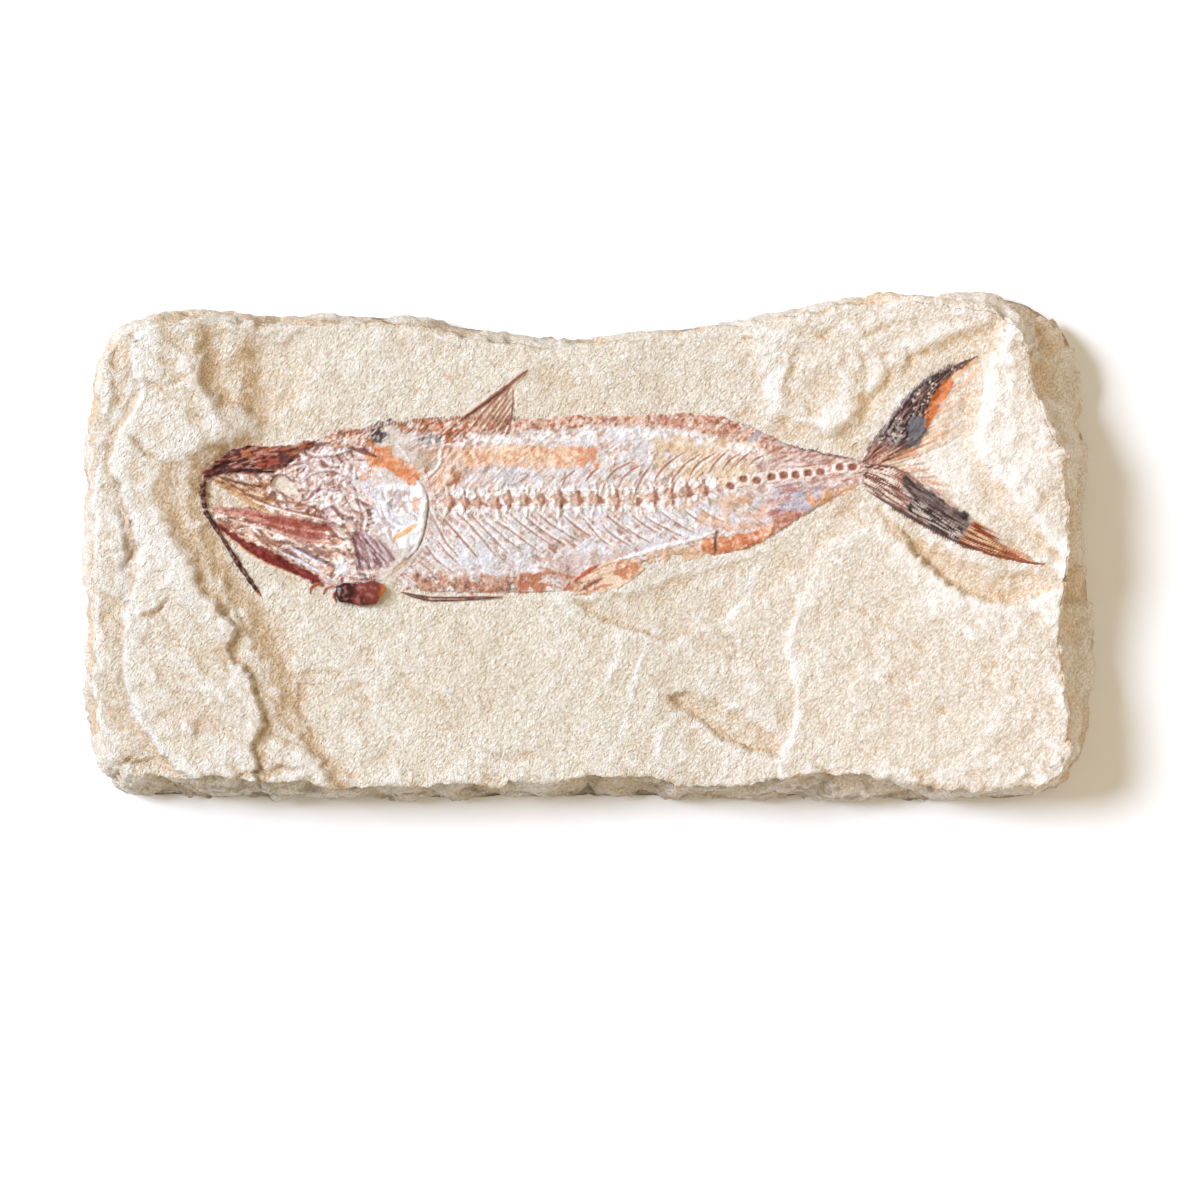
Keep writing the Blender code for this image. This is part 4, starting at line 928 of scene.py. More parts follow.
make_piece("limestone", np.vstack(points),
    stone_faces, stone_finish.material, "limestone", ("stone_slab",),
                   chalk=np.concatenate(chalk), hollow=np.concatenate(hollow), dirt=np.concatenate(dirt),
                   stain=stain)

# %% [markdown]
# ## A canvas for the fish
#
# What is left of the fish is a film of bone and scale, a few tenths of a millimetre thick, and its parts
# grow into each other. So the whole fish is painted on one fine lattice first: each step lays a colour where
# a mask is 1 and raises or sinks the film there. The lattice is cut into the separate bones at the end.
# Separate patches for each bone were the other way, but they left gaps between them that the fossil doesn't
# have.

# %% Canvas
STEP = 0.28                        # mm between lattice points
EDGE_SINK = 0.5                    # outside its outline the film dives this far under the stone's surface


class Canvas:
    """Colour, cover and relief on a lattice, painted layer by layer."""

    def __init__(self, low, high):
        self.low = low
        across, along = np.arange(low[0], high[0], STEP), np.arange(low[1], high[1], STEP)
        self.x, self.y = np.meshgrid(across, along, indexing="ij")
        self.colour = np.zeros(self.x.shape + (3,)) + STONE
        self.cover = np.zeros(self.x.shape)
        self.relief = np.zeros(self.x.shape)

    def window(self, points, margin):
        """The part of the lattice around some points, as a pair of slices."""
        points = np.array([tuple(p)[:2] for p in points])
        first = np.floor((points.min(axis=0) - margin - self.low) / STEP).astype(int).clip(0)
        last = np.ceil((points.max(axis=0) + margin - self.low) / STEP).astype(int).clip(1)
        return np.s_[first[0]:last[0], first[1]:last[1]]

    def paint(self, mask, shade, lift=0.0, part=np.s_[:, :]):
        """Lay a colour, as seen or linear, where mask is 1, and raise the film there by lift mm."""
        shade = seen(*shade) if isinstance(shade, tuple) else shade
        mask = np.clip(mask, 0.0, 1.0)
        total = self.cover[part] * (1.0 - mask) + mask
        share = (mask / np.maximum(total, 1e-6))[..., None]
        self.colour[part] = self.colour[part] * (1.0 - share) + shade * share
        self.cover[part] = total
        self.relief[part] += lift * mask

    def area(self, outline, shade, strength=1.0, lift=0.0, pattern=None, soft=0.5, ragged=0.5, seed=17):
        """Paint inside an outline with a ragged, soft edge, all over or only where a pattern is 1."""
        outline = path(outline) if isinstance(outline, str) else outline
        part = self.window(outline, soft + ragged)
        x, y = self.x[part], self.y[part]
        fray = rough(x, y, 2.0, seed) + 0.7 * relief_noise(x, y, 0.7, seed + 1)
        mask = smooth_step((signed_distance(x, y, outline)[0] + ragged * fray) / soft + 0.5)
        if pattern is not None:
            mask = mask * pattern(x, y)
        self.paint(strength * mask, shade, lift, part)

    def stroke(self, line, width, shade, strength=1.0, lift=0.0, blunt=0.0):
        """Paint a line that thins to its ends, or keeps blunt of its width there; noise roughens its
        edges."""
        line = path(line) if isinstance(line, str) else line
        curve = rounded(line, 5 * len(line))
        part = self.window(curve, width + 0.3)
        x, y = self.x[part], self.y[part]
        away, along = line_distance(x, y, curve)
        taper = np.maximum(thinning(along), blunt)
        half = 0.5 * width * taper * (1 + 0.35 * relief_noise(x, y, 0.9, 19))
        self.paint(strength * smooth_step((half - away) / 0.3 + 0.5), shade, lift, part)


canvas = Canvas((-100.6, -18.6), (120.0, 50.0))
x, y = canvas.x, canvas.y
paint, area, stroke = canvas.paint, canvas.area, canvas.stroke
print("canvas has", x.shape, "points")

# %% Patterns
def share_of(value, share, soft=0.16):
    """1 where a noise value is among the highest given share of its values, 0 elsewhere."""
    return smooth_step((value - 0.8 * (0.5 - share)) / soft + 0.5)


def streaks(degrees, long, thin, seed, share=0.5):
    """Random streaks in one direction."""
    return lambda x, y: share_of(fibres(x, y, degrees, long, thin, seed), share)


def flecks(size, seed, share=0.5):
    """Random spots of one size, with finer ones on them."""
    return lambda x, y: share_of(rough(x, y, size, seed), share)


def fan(centre, facing, long, thin, seed, share=0.5, reach=15.0):
    """Random streaks that radiate from a centre to the side it faces; thin is their width reach mm away."""
    c, s = np.cos(np.radians(facing)), np.sin(np.radians(facing))

    def pattern(x, y):
        dx, dy = x - centre[0], y - centre[1]
        turn = np.arctan2(-s * dx + c * dy, c * dx + s * dy) * reach / thin
        return share_of(relief_noise(turn, np.hypot(dx, dy) / long, 1.0, seed), share)
    return pattern


SPINE_X, SPINE_Y = np.array(BACKBONE).T


def along_ribs(long, thin, seed, share=0.5):
    """Random streaks that run like the ribs: away from the backbone and to the tail."""
    def pattern(x, y):
        depth = np.abs(y - np.interp(x, SPINE_X, SPINE_Y))
        lean = np.where(y > np.interp(x, SPINE_X, SPINE_Y), 0.8, 0.95)
        across = x - lean * depth - 0.015 * depth * depth
        return share_of(relief_noise(across / thin, depth / long, 1.0, seed), share)
    return pattern


def tangled(degrees, long, thin, seed, share=0.5):
    """Short streaks whose direction wanders, as in crushed bone."""
    def pattern(x, y):
        wander_x = x + 2.0 * relief_noise(x, y, 4.5, seed + 2)
        wander_y = y + 2.0 * relief_noise(x, y, 4.5, seed + 3)
        return share_of(fibres(wander_x, wander_y, degrees, long, thin, seed), share)
    return pattern


def both(first, second):
    """Where two patterns are 1 at once."""
    return lambda x, y: first(x, y) * second(x, y)


print("share of a fleck pattern:", flecks(1.0, 7, 0.4)(x, y).mean().round(2))

# %% [markdown]
# ## The body film
#
# Under the colours lies the film itself: silvery white with brown, tan and bluish flecks that follow the
# muscle segments, and so the ribs.

# %% Ground of the film
body = signed_distance(x, y, BODY)[0]
tufty = smooth_step((y - 27) / 2) * smooth_step((-25 - x) / 8)
fray = rough(x, y, 2.0, 131) + 0.6 * relief_noise(x, y, 0.6, 133)
film = smooth_step((body + (0.45 + 0.7 * tufty) * fray) / 0.45 + 0.3)
paint(film, (217, 206, 196), 0.3)

spine = np.interp(x, SPINE_X, SPINE_Y)
gill_line = np.interp(y, [-9, -5.2, -1, 4, 10.3, 16.5, 21.2, 24.8], [-49.8, -45.7, -42.7, -40.9, -40.4,
    -40.9, -42.7, -46.7])
flank = film * smooth_step((x - gill_line) / 0.8)
paint(0.6 * flank * flecks(5.5, 141, 0.4)(x, y), (228, 200, 178))
paint(0.5 * flank * flecks(3.0, 143, 0.36)(x, y), (214, 186, 172))
paint(0.5 * flank * flecks(2.0, 144, 0.3)(x, y), (194, 187, 188), -0.1)
paint(0.6 * flank * along_ribs(2.0, 0.7, 145, 0.24)(x, y), (180, 138, 116), -0.1)
below = smooth_step((spine - 3.0 - y) / 1.5)
paint(0.6 * flank * below * along_ribs(4.0, 0.5, 146, 0.2)(x, y), (170, 116, 88), 0.1)
paint(0.6 * flank * along_ribs(1.6, 0.7, 147, 0.28)(x, y), (240, 239, 238), 0.18)
paint(0.55 * flank * flecks(0.9, 149, 0.2)(x, y), (170, 124, 98), -0.12)
paint(0.6 * flank * flecks(1.2, 151, 0.22)(x, y), (246, 244, 243), 0.22)
for outline, strength in [
    (path("-7.1,11.6 15.7,10.3 43.7,13.6 46.2,6.5 28.4,0.9 3,-3.7 -30,-7.5 -35.1,1.4 -22.4,6.5"), 0.5),
    (path("3,30.6 28.4,29.3 25.9,24.3 13.2,16.6 3,15.4 -17.3,14.1 -30,16.6"), 0.45),
    (path("-40.1,6.5 -17.3,1.4 -17.3,-7.5 -35.1,-6.2 -42.7,0.1"), 0.4),
]:
    area(outline, (220, 221, 225), 1.4 * strength, 0.1, flecks(2.4, 153, 0.5), 3.0, 1.5)
canvas.relief += 0.15 * flank * rough(x, y, 2.4, 155)

# %% Bands along the flank
TAN_ZONE = path("-42.9,25.3 -27.4,25.3 -30,19.2 -33.8,13.3 -40.6,13.3 -41.7,19.2")
AMBER_BAND = path("-32,24.5 -22.4,25.3 -7.1,25 2.3,25 2.5,19.9 -7.1,19.7 -22.4,20.2 -32,19.2")
YELLOW_ZONE = path("15.7,27.8 28.4,28.6 41.7,26.8 42.9,19.2 38.6,15.6 25.9,16.1 17,19.2")
area(TAN_ZONE, (214, 166, 132), 0.8, 0.0, flecks(3.0, 161, 0.75), 1.5, 1.2)
area(TAN_ZONE, (170, 108, 78), 0.8, 0.1, streaks(55, 3.0, 0.6, 163, 0.33), 1.0, 0.8)
area(TAN_ZONE, (246, 232, 220), 0.55, 0.15, streaks(58, 2.4, 0.6, 164, 0.25), 1.0, 0.8)
area(AMBER_BAND, (232, 194, 162), 0.93, 0.0, flecks(3.0, 165, 0.92), 1.2, 0.8)
area(AMBER_BAND, (214, 152, 108), 0.6, 0.05, flecks(1.8, 167, 0.4), 1.0, 0.8)
area(AMBER_BAND, (250, 230, 206), 0.6, 0.1, flecks(1.2, 168, 0.22), 1.0, 0.8)
area("-4.6,25 2.3,25.3 2.5,19.4 -2,20.2", (208, 136, 96), 0.7, 0.0, flecks(1.6, 169, 0.65), 0.6)
area("-32.5,20.2 -17.5,20.7 -18.3,14.1 -32.5,13.6", (176, 166, 164), 0.6, -0.05, streaks(48, 3.0, 0.4, 171,
    0.45), 1.5)
area(YELLOW_ZONE, (226, 202, 168), 0.75, 0.0, flecks(3.5, 173, 0.75), 2.0, 1.5)
area(YELLOW_ZONE, (208, 166, 124), 0.5, 0.05, flecks(1.4, 175, 0.3), 1.5)
area("42.9,25.3 49.5,25 48.8,21.5 43.7,21.5", (230, 172, 120), 0.9, 0.1, flecks(1.8, 177, 0.8))
area("3,16.6 18.3,17.1 28.4,11.6 25.9,7.7 8.1,6.5 3,10.3", (226, 190, 150), 0.45, 0.0, flecks(2.2, 179,
    0.45), 1.5)

# Along the back: the rust band, darker at its upper edge, and the silver band below it.
band_low = path("-42.9,27.8 -37.3,28.3 -27.4,28.3 -19.3,28.6 -10.9,29.3 -2.8,29.8 5.3,30.1 14.5,30.1 "
    "25.9,29.3 34,27.6 40.6,26 47.2,23.2 51.8,21.7 56.9,22.2")
band_low_y = np.interp(x, *np.array(band_low).T)
in_band = film * smooth_step((x + 43) / 3) * smooth_step((52 - x) / 6)
band = in_band * smooth_step((y - band_low_y + 0.9 * fray) / 0.6)
paint(0.85 * band, (224, 184, 158), 0.12)
paint(0.8 * band * flecks(1.1, 181, 0.38)(x, y), (182, 108, 76), 0.1)
paint(0.75 * band * flecks(0.9, 183, 0.24)(x, y), (248, 232, 218), 0.2)
paint(0.55 * band * flecks(0.8, 185, 0.13)(x, y), (116, 66, 50), -0.1)
red = smooth_step((x - 12) / 6) * smooth_step((40 - x) / 6)
paint(0.5 * red * band * flecks(1.5, 187, 0.5)(x, y), (176, 104, 84))
silver_band = in_band * bump_at(y - band_low_y, -1.6, 1.3)
paint(0.8 * silver_band * flecks(1.6, 189, 0.65)(x, y), (250, 251, 254), 0.15)
area("39.1,30.9 44.2,29.3 44.7,25.8 40.6,26.3", (150, 156, 172), 0.7, 0.0, flecks(1.0, 191, 0.4))
area("4.3,33.1 7.4,33.1 7.1,29.8 4.6,29.8", (120, 74, 62), 0.7, 0.0, flecks(1.0, 193, 0.5))
stroke("43.7,27.6 47.5,26.5 51.3,25.3 57.4,24 61.2,23 68.1,22", 0.9, (70, 66, 70), 0.85)

# %% [markdown]
# ## Backbone
#
# The vertebrae are hourglasses lying end to end. Where two of them meet, the brown bone flares to a star;
# above and below each waist sits a white bead of filling. Towards the tail only a row of dark pits is left.

# %% Row of vertebrae
JOINTS = path("-35.1,11 -31.2,11 -27.7,10.8 -23.4,10.8 -20.1,11.6 -16,11.6 -11.7,11.8 -7.1,11.8 -2.8,11.8 "
    "2.3,11.6 7.4,11.6 12.2,11.8 16.8,12.3 21.1,12.8 25.1,13.6 29.5,14.1 34,14.6")
PITS = path("36.3,15.1 39.4,16.9 42.9,16.6 46.7,17.4 49.8,17.9 52.8,17.9 55.9,18.4 59.2,18.7 64,19.9 "
    "67.1,19.9")
random = np.random.default_rng(199)
row = film * bump_at(y - spine, 0.0, 2.2) * smooth_step((x + 40) / 3)
paint(0.35 * row * flecks(1.8, 201, 0.6)(x, y), (236, 204, 180))
for (ax, ay), (bx, by) in zip(JOINTS, JOINTS[1:]):
    part = canvas.window([(ax, ay), (bx, by)], 3.2)
    px, py = x[part], y[part]
    middle = ((ax + bx) / 2, (ay + by) / 2)
    size = random.uniform(0.8, 1.15)
    for side in (-1, 1):
        bead = np.hypot((px - middle[0]) / random.uniform(0.7, 1.2), (py - middle[1] - 1.7 * side) / 1.3)
        bead = bead * (1 + 0.5 * relief_noise(px, py, 1.2, 202))
        paint(0.7 * smooth_step((1.0 - bead) / 0.35), (252, 250, 250), 0.35, part)
        for _ in range(3):
            reach, lean = random.uniform(1.6, 3.4), random.uniform(-1.6, 1.6)
            stroke([(ax + 0.4 * lean, ay + 1.2 * side), (ax + lean, ay + (1.2 + reach) * side)], 0.75, (250,
                246, 244), 0.8, 0.3, 0.3)
    star = 1.0 - (np.abs(px - ax) / 2.2) ** 0.8 - (np.abs(py - ay + 0.3 * (px - ax)) / (2.7 * size)) ** 0.8
    star = star + 0.3 * relief_noise(px, py, 1.1, 203)
    paint(0.85 * smooth_step(star / 0.16 + 0.5), (206, 168, 148), -0.2, part)
    # painted shade: the right half of each star's middle, away from the lamp, is darker brown
    shaded_half = smooth_step((star - 0.14) / 0.18 + 0.5) * smooth_step((px - ax + 0.2) / 0.6)
    paint(0.8 * shaded_half, (148, 98, 74), -0.3, part)
stalk = film * smooth_step((x - 42) / 8)
paint(0.75 * stalk * flecks(1.6, 205, 0.7)(x, y), (204, 160, 142))
paint(0.7 * stalk * streaks(12, 2.5, 0.5, 207, 0.36)(x, y), (170, 108, 92), 0.1)
paint(0.5 * stalk * streaks(15, 2.0, 0.5, 208, 0.22)(x, y), (244, 234, 228), 0.15)
for cx, cy in PITS:
    part = canvas.window([(cx, cy)], 2.6)
    px, py = x[part], y[part]
    away = np.hypot((px - cx) / 1.25, (py - cy) / 1.0) * (1 + 0.2 * relief_noise(px, py, 1.0, 209))
    paint(0.8 * bump_at(away, 1.35, 0.35), (244, 230, 220), 0.25, part)
    paint(0.9 * smooth_step((1.05 - away) / 0.35), (150, 92, 70), -0.35, part)

# %% Spines above the backbone and ribs below it
SPINES = paths("4.8,16.9 5.8,18.4 7.6,19.7 10.7,21.2; 7.6,14.4 8.6,17.1 10.9,19.2 14,20.7; 11.4,11 "
    "11.9,13.8 13.5,17.1 16.5,21.5; 16.5,15.6 17.3,17.7 19.3,20.2 23.9,23.5; 20.8,15.6 22.4,18.4 24.9,21 "
    "28.4,23.2; 25.4,16.1 26.2,18.7 27.9,21 32.5,23.7; 30.5,18.4 31.5,20.2 33,22 35.6,24.3; 34,19.2 "
    "35.6,21.5 38.1,23.2; -0.8,16.1 0.5,18.2 3,19.9; -7.1,14.6 -5.6,17.4 -3.3,19.2; 37.3,20.2 38.9,22 "
    "41.1,23.7; 40.6,20.2 42.4,22 44.7,23")
RIBS = paths("-38.4,8.3 -35.6,5.5 -31.8,1.1 -28.2,-2.9; -35.1,5.2 -32.3,1.9 -30,-0.9 -28.4,-2.9; -40.1,8.5 "
    "-38.6,5.2 -36.1,0.6 -33,-2.7; -33.5,8.5 -30,5.2 -26.9,1.7 -23.4,-2.9; -30.5,8.5 -26.9,4.7 -23.6,1.4 "
    "-20.6,-1.9; -26.7,6.7 -23.4,3.9 -20.6,1.4 -18,-0.4; -23.4,6.2 -20.1,4.2 -16.5,1.4 -12.2,-1.7; "
    "-20.3,8.5 -17.3,5.7 -13.2,2.7 -9.1,-0.1; -16.8,8 -13.2,5 -9.7,2.4 -5.6,0.1; -10.2,6.7 -7.6,4.4 "
    "-4.8,2.4 -2,1.1; -13.2,8.5 -10.2,6 -7.1,3.7; -6.6,8 -3.6,5.2 0.5,2.4; -1.3,7 0.8,4.4 3,1.7 6.1,-0.4; "
    "3.3,5.5 5.3,3.4 7.6,1.7 10.7,-0.1; 4.6,7.7 7.6,5.2 11.2,2.9; 9.1,5 12.2,2.7 15.5,0.9; 14.2,7.5 17,5.7 "
    "20.6,3.9 24.4,2.2; 10.7,8 14.2,5.2 18.3,2.9; 20.3,8 22.4,6.2 25.4,4.7; 18.3,8.8 21.8,6 26.9,3.2; "
    "24.4,9 27.4,6.7 30.5,5; 28.4,9.5 31.5,7.2 34.5,6; -38.4,1.4 -35.8,-1.9 -32.5,-5.2; -41.4,0.1 "
    "-38.6,-3.7 -34.5,-6.7")
for line in SPINES:
    stroke([(px + 0.4, py - 0.3) for px, py in line], 0.9, (252, 250, 250), 0.7, 0.1)
    stroke(line, 0.48, (166, 102, 74), 0.95, 0.3)
for line in RIBS:
    stroke([(px + 0.45, py + 0.3) for px, py in line], 0.8, (252, 252, 254), 0.7, 0.12)
    stroke(line, 0.42, (156, 98, 74), 0.9, 0.3)

# %% Belly
area("-44.2,-6.5 -35.1,-7 -17.3,-6.7 -16.8,-12.1 -35.1,-12.1 -46.5,-11.3", (206, 166, 142), 0.85, 0.08,
    flecks(1.8, 221, 0.7), 0.8, 0.8)
area("-44.2,-7.2 -35.1,-8 -14.7,-7.5 -14.7,-12.3 -35.1,-12.3 -46.5,-11.3", (178, 104, 70), 0.75, 0.12,
    flecks(1.0, 223, 0.4), 0.8, 0.8)
area("-45.2,-6.7 -40.1,-6.7 -30,-8.8 -17.3,-8.8 -17.3,-11.8 -42.7,-11.3", (96, 74, 74), 0.7, 0.0,
    flecks(0.8, 225, 0.16), 0.8)
area("-37.6,-3.7 -17.3,-2.7 -10.9,-5 -14.7,-8.3 -35.1,-7.7", (234, 234, 240), 0.5, 0.1, flecks(1.4, 227,
    0.5), 1.5)
area("-17.3,-7.2 -9.7,-6.2 -3.3,-8.3 -2,-11.6 -16.8,-11.8", (184, 118, 80), 0.9, 0.1, flecks(1.4, 229, 0.7),
    0.6)
area("-10.2,-3.7 3,-0.6 13.2,0.1 13.2,-3.7 3,-6.7 -4.6,-9.8 -9.1,-9.3", (206, 182, 172), 0.7, 0.05,
    flecks(1.2, 231, 0.6), 1.0)
area("13.5,-2.7 18.3,-0.9 29.2,-0.1 29.2,-3.2 18.3,-4.2 13.5,-5.2", (216, 178, 144), 0.8, 0.1, flecks(1.6,
    233, 0.75), 0.6)
RUST_STRIP = path("28.4,2.2 34.8,2.4 39.9,3.4 46.7,5.5 47.8,3.2 43.7,0.6 38.6,-1.1 33.5,-2.4 29,-2.4")
area(RUST_STRIP, (214, 146, 104), 0.95, 0.15, None, 0.6, 0.7)
area(RUST_STRIP, (184, 98, 58), 0.75, 0.1, flecks(1.2, 235, 0.38), 0.6)
area(RUST_STRIP, (244, 212, 186), 0.7, 0.05, flecks(1.0, 237, 0.22), 0.6)
area("45.7,8 53.8,11 59.9,13.1 60.5,11 53.8,7 47.8,3.4", (206, 148, 120), 0.75, 0.08, flecks(1.2, 239,
    0.65), 0.7)
area("45.7,8.5 59.9,13.6 61,11.6 47.8,3.9", (160, 88, 74), 0.7, 0.08, flecks(0.8, 241, 0.25), 0.7)
area("55.1,13.1 68.1,15.4 68.6,13.6 56.9,9", (226, 176, 130), 0.75, 0.0, flecks(1.6, 243, 0.7), 0.7)
area("25.9,11.6 38.6,12.6 46.2,10.3 43.7,5 33.5,2.9 25.9,3.9", (222, 176, 136), 0.6, 0.0, flecks(2.4, 245,
    0.5), 1.2)
area("47,15.6 59.4,15.6 58.9,9.5 47.5,8.5", (206, 210, 222), 0.6, 0.0, flecks(2.0, 247, 0.6), 1.0)
area("47,15.6 59.4,15.6 58.9,9 48.3,8.5", (136, 146, 178), 0.5, 0.0, streaks(35, 1.4, 0.35, 249, 0.2), 0.8)
stroke("3,-5.2 10.7,-2.7 18.3,-0.4 27.7,1.7 32.5,3.7", 1.1, (246, 244, 244), 0.85, 0.35, 0.5)
stroke("32.5,3.7 32.3,0.6 32,-2.7", 0.75, (70, 60, 62), 0.85, 0.0, 0.6)

# %% Anal and pelvic fins
anal = smooth_step((signed_distance(x, y, ANAL)[0] + 0.5 * fray) / 0.5 + 0.3)
paint(0.75 * anal, (232, 202, 172), 0.3)
paint(0.7 * anal * flecks(1.6, 251, 0.45)(x, y), (214, 170, 134), 0.08)
area("6.6,-4.2 13.2,-4.2 13.2,-7.2 8.6,-8.8 6.6,-7.2", (190, 118, 80), 0.8, 0.1, flecks(1.2, 253, 0.7))
area("-4.3,-9.3 2.5,-8.3 2.5,-11.8 -3.6,-12.8", (110, 80, 78), 0.7, 0.0, flecks(0.9, 255, 0.35))
stroke("-3.8,-9.3 -0.8,-7 3,-4.7", 1.0, (178, 78, 56), 0.9, 0.2)
stroke("-2.5,-11.8 1,-9.5 4.1,-8", 0.8, (150, 70, 54), 0.8, 0.2)
stroke("-0.8,-12.3 3,-10.3 6.6,-9.8", 0.7, (190, 120, 86), 0.8, 0.2)
pelvic = smooth_step(signed_distance(x, y, PELVIC)[0] / 0.3 + 0.4)
paint(0.85 * pelvic, (196, 160, 140), 0.3)
stroke("-48.3,-11.6 -40.9,-13.1 -35.3,-13.2 -28.7,-13.1 -21.8,-13", 0.6, (104, 58, 50), 0.95, 0.2)
stroke("-47.5,-11.8 -44.7,-13.1 -40.9,-14 -35.3,-14 -27.9,-13.6 -22.1,-13.1", 0.55, (88, 50, 46), 0.95, 0.2)
area("-45.7,-12.3 -40.9,-13.1 -40.1,-13.8 -43.9,-13.3", (92, 52, 48), 0.8, 0.1, None, 0.3, 0.2)

# %% [markdown]
# ## Head
#
# The skull roof and the edge of the lower jaw are hard bone, so dark red that they look nearly black, with
# long ridges. The cheek between them is crushed to fibres that spread from the jaw joint. The eye socket is
# a leaf of bare stone, and the mouth gapes open.

# %% Cheek and jaw fibres
cheek = film * smooth_step((-52.5 - x) / 2.5)
paint(0.9 * cheek, (214, 188, 176))
paint(0.5 * cheek * flecks(3.5, 312, 0.35)(x, y), (218, 170, 140))
paint(0.75 * cheek * tangled(-35, 3.4, 0.55, 303, 0.38)(x, y), (164, 110, 88), -0.1)
paint(0.66 * cheek * tangled(20, 2.6, 0.45, 305, 0.3)(x, y), (252, 247, 243), 0.28)
paint(0.75 * cheek * tangled(-70, 3.4, 0.6, 307, 0.16)(x, y), (104, 54, 42), 0.05)
paint(0.42 * cheek * tangled(-15, 3.0, 0.55, 309, 0.16)(x, y), (255, 252, 250), 0.25)
paint(0.4 * cheek * flecks(1.1, 310, 0.2)(x, y), (150, 96, 76), -0.1)
SNOUT = path("-97.3,18.2 -93.7,18.2 -86.9,15.9 -80.3,17.1 -81.3,13.6 -78.2,11 -82.8,9.5 -87.6,12.3 "
    "-92.2,14.6 -96.5,16.6")
area(SNOUT, (196, 150, 110), 0.8, 0.0, None, 1.0, 0.8)
area(SNOUT, (138, 82, 52), 0.85, 0.08, streaks(-24, 3.2, 0.5, 309, 0.42), 0.8)
area(SNOUT, (234, 216, 186), 0.7, 0.12, streaks(-30, 2.2, 0.4, 311, 0.22), 0.8)
BROW = path("-86.9,19.2 -75.2,21.2 -73.2,17.7 -70.6,14.1 -73.2,11.6 -74.4,15.1 -77.7,18.2 -82.8,18.2")
area(BROW, (140, 86, 66), 0.7, 0.08, tangled(-40, 2.6, 0.5, 313, 0.45), 1.0)
area(BROW, (240, 220, 200), 0.6, 0.2, tangled(-30, 2.0, 0.45, 314, 0.25), 1.0)
CHEEK_BACK = path("-73.2,24.3 -61.7,26.8 -59.9,19.2 -61.7,11.6 -65.5,8.5 -70.1,11.6 -73.2,16.6")
area(CHEEK_BACK, (253, 248, 248), 0.7, 0.25, tangled(60, 2.0, 0.6, 315, 0.45), 1.5)
area(CHEEK_BACK, (160, 112, 98), 0.6, 0.0, flecks(1.0, 317, 0.3), 1.5)
area("-71.6,21.2 -65.5,20.2 -65.5,18.2 -71.1,18.2", (112, 70, 60), 0.7, 0.0, flecks(1.1, 319, 0.4), 0.8)
area("-63.5,9 -58.4,9 -57.9,0.1 -61.7,0.1", (140, 104, 98), 0.6, -0.05, flecks(1.2, 321, 0.5), 1.2)
stroke("-64.8,14.1 -65.3,12.1 -64.5,10 -62.5,9.3", 0.5, (150, 104, 92), 0.8, 0.2)
stroke("-64.8,14.4 -63,15.1 -61.2,14.1 -60.7,12.1", 0.5, (160, 116, 104), 0.7, 0.2)

JAW = path("-96.5,9.3 -86.6,9.4 -82,8 -72.1,6.7 -61.7,5 -59.9,0.1 -61.7,-3.7 -68.6,-9.3 -75.7,-6.7 "
    "-85.9,-1.7 -92.5,3.9")
area(JAW, (224, 184, 158), 0.75, 0.0, None, 0.8, 0.5)
area(JAW, (148, 98, 78), 0.8, -0.08, tangled(-20, 2.4, 0.7, 331, 0.4), 0.8)
area(JAW, (252, 242, 230), 0.8, 0.25, both(flecks(1.1, 333, 0.5), tangled(-18, 2.6, 0.7, 334, 0.6)), 0.8)
area(JAW, (104, 58, 48), 0.6, 0.0, tangled(-25, 2.4, 0.4, 336, 0.16), 0.8)
JAW_LINES = [
    ("-96.5,9.5 -91.9,9.5 -87.6,8.8 -82.5,8 -77,7.2 -72.1,6.5", 1.3, (182, 122, 112), 0.35),
    ("-95.5,8.8 -90.4,8.3 -85.9,7.5 -80.8,6.5 -75.7,5", 0.9, (206, 150, 138), 0.2),
    ("-87.6,8.3 -82.5,7.5 -77.2,6.5 -72.1,6 -65.5,4.4", 1.3, (176, 98, 84), 0.25),
    ("-86.9,7 -80.8,5.7 -74.2,4.4 -66.5,2.9", 1.0, (196, 128, 112), 0.2),
    ("-82.8,5.7 -76.7,3.9 -70.1,2.9 -63.5,2.2", 1.1, (164, 84, 70), 0.25),
    ("-85.9,5.5 -78.2,2.9 -70.6,1.1 -63,0.1", 0.8, (200, 140, 126), 0.15),
    ("-73.2,6.2 -69.6,5.5 -65.5,3.9", 1.4, (150, 84, 74), 0.15),
    ("-70.1,8 -67.6,6.5 -64,5", 1.2, (160, 104, 94), 0.15),
    ("-65.5,11 -64,8.5 -62,6.5", 0.7, (130, 86, 76), 0.1),
    ("-95.5,16.4 -88.9,12.6 -84.6,9.8 -79.2,7.5", 0.9, (214, 176, 122), 0.3),
    ("-94,17.7 -85.9,12.6 -78,9 -68.3,7.5 -62.5,4.7", 0.8, (132, 78, 50), 0.2),
    ("-88.1,13.3 -79.2,11.3 -71.9,10.5 -66.8,8.3", 0.8, (150, 94, 62), 0.2),
    ("-85.9,11.6 -76.5,8.5 -65.3,6", 0.7, (252, 240, 224), 0.35),
    ("-83.8,7.5 -74.2,5.2 -64.5,3.9", 1.5, (152, 72, 56), 0.25),
    ("-91.2,6.7 -81.5,3.9 -74.2,0.9 -66.8,-1.4", 0.7, (250, 236, 226), 0.35),
    ("-81.5,5.2 -72.6,2.4 -65.3,1.7", 1.0, (164, 96, 82), 0.2),
]
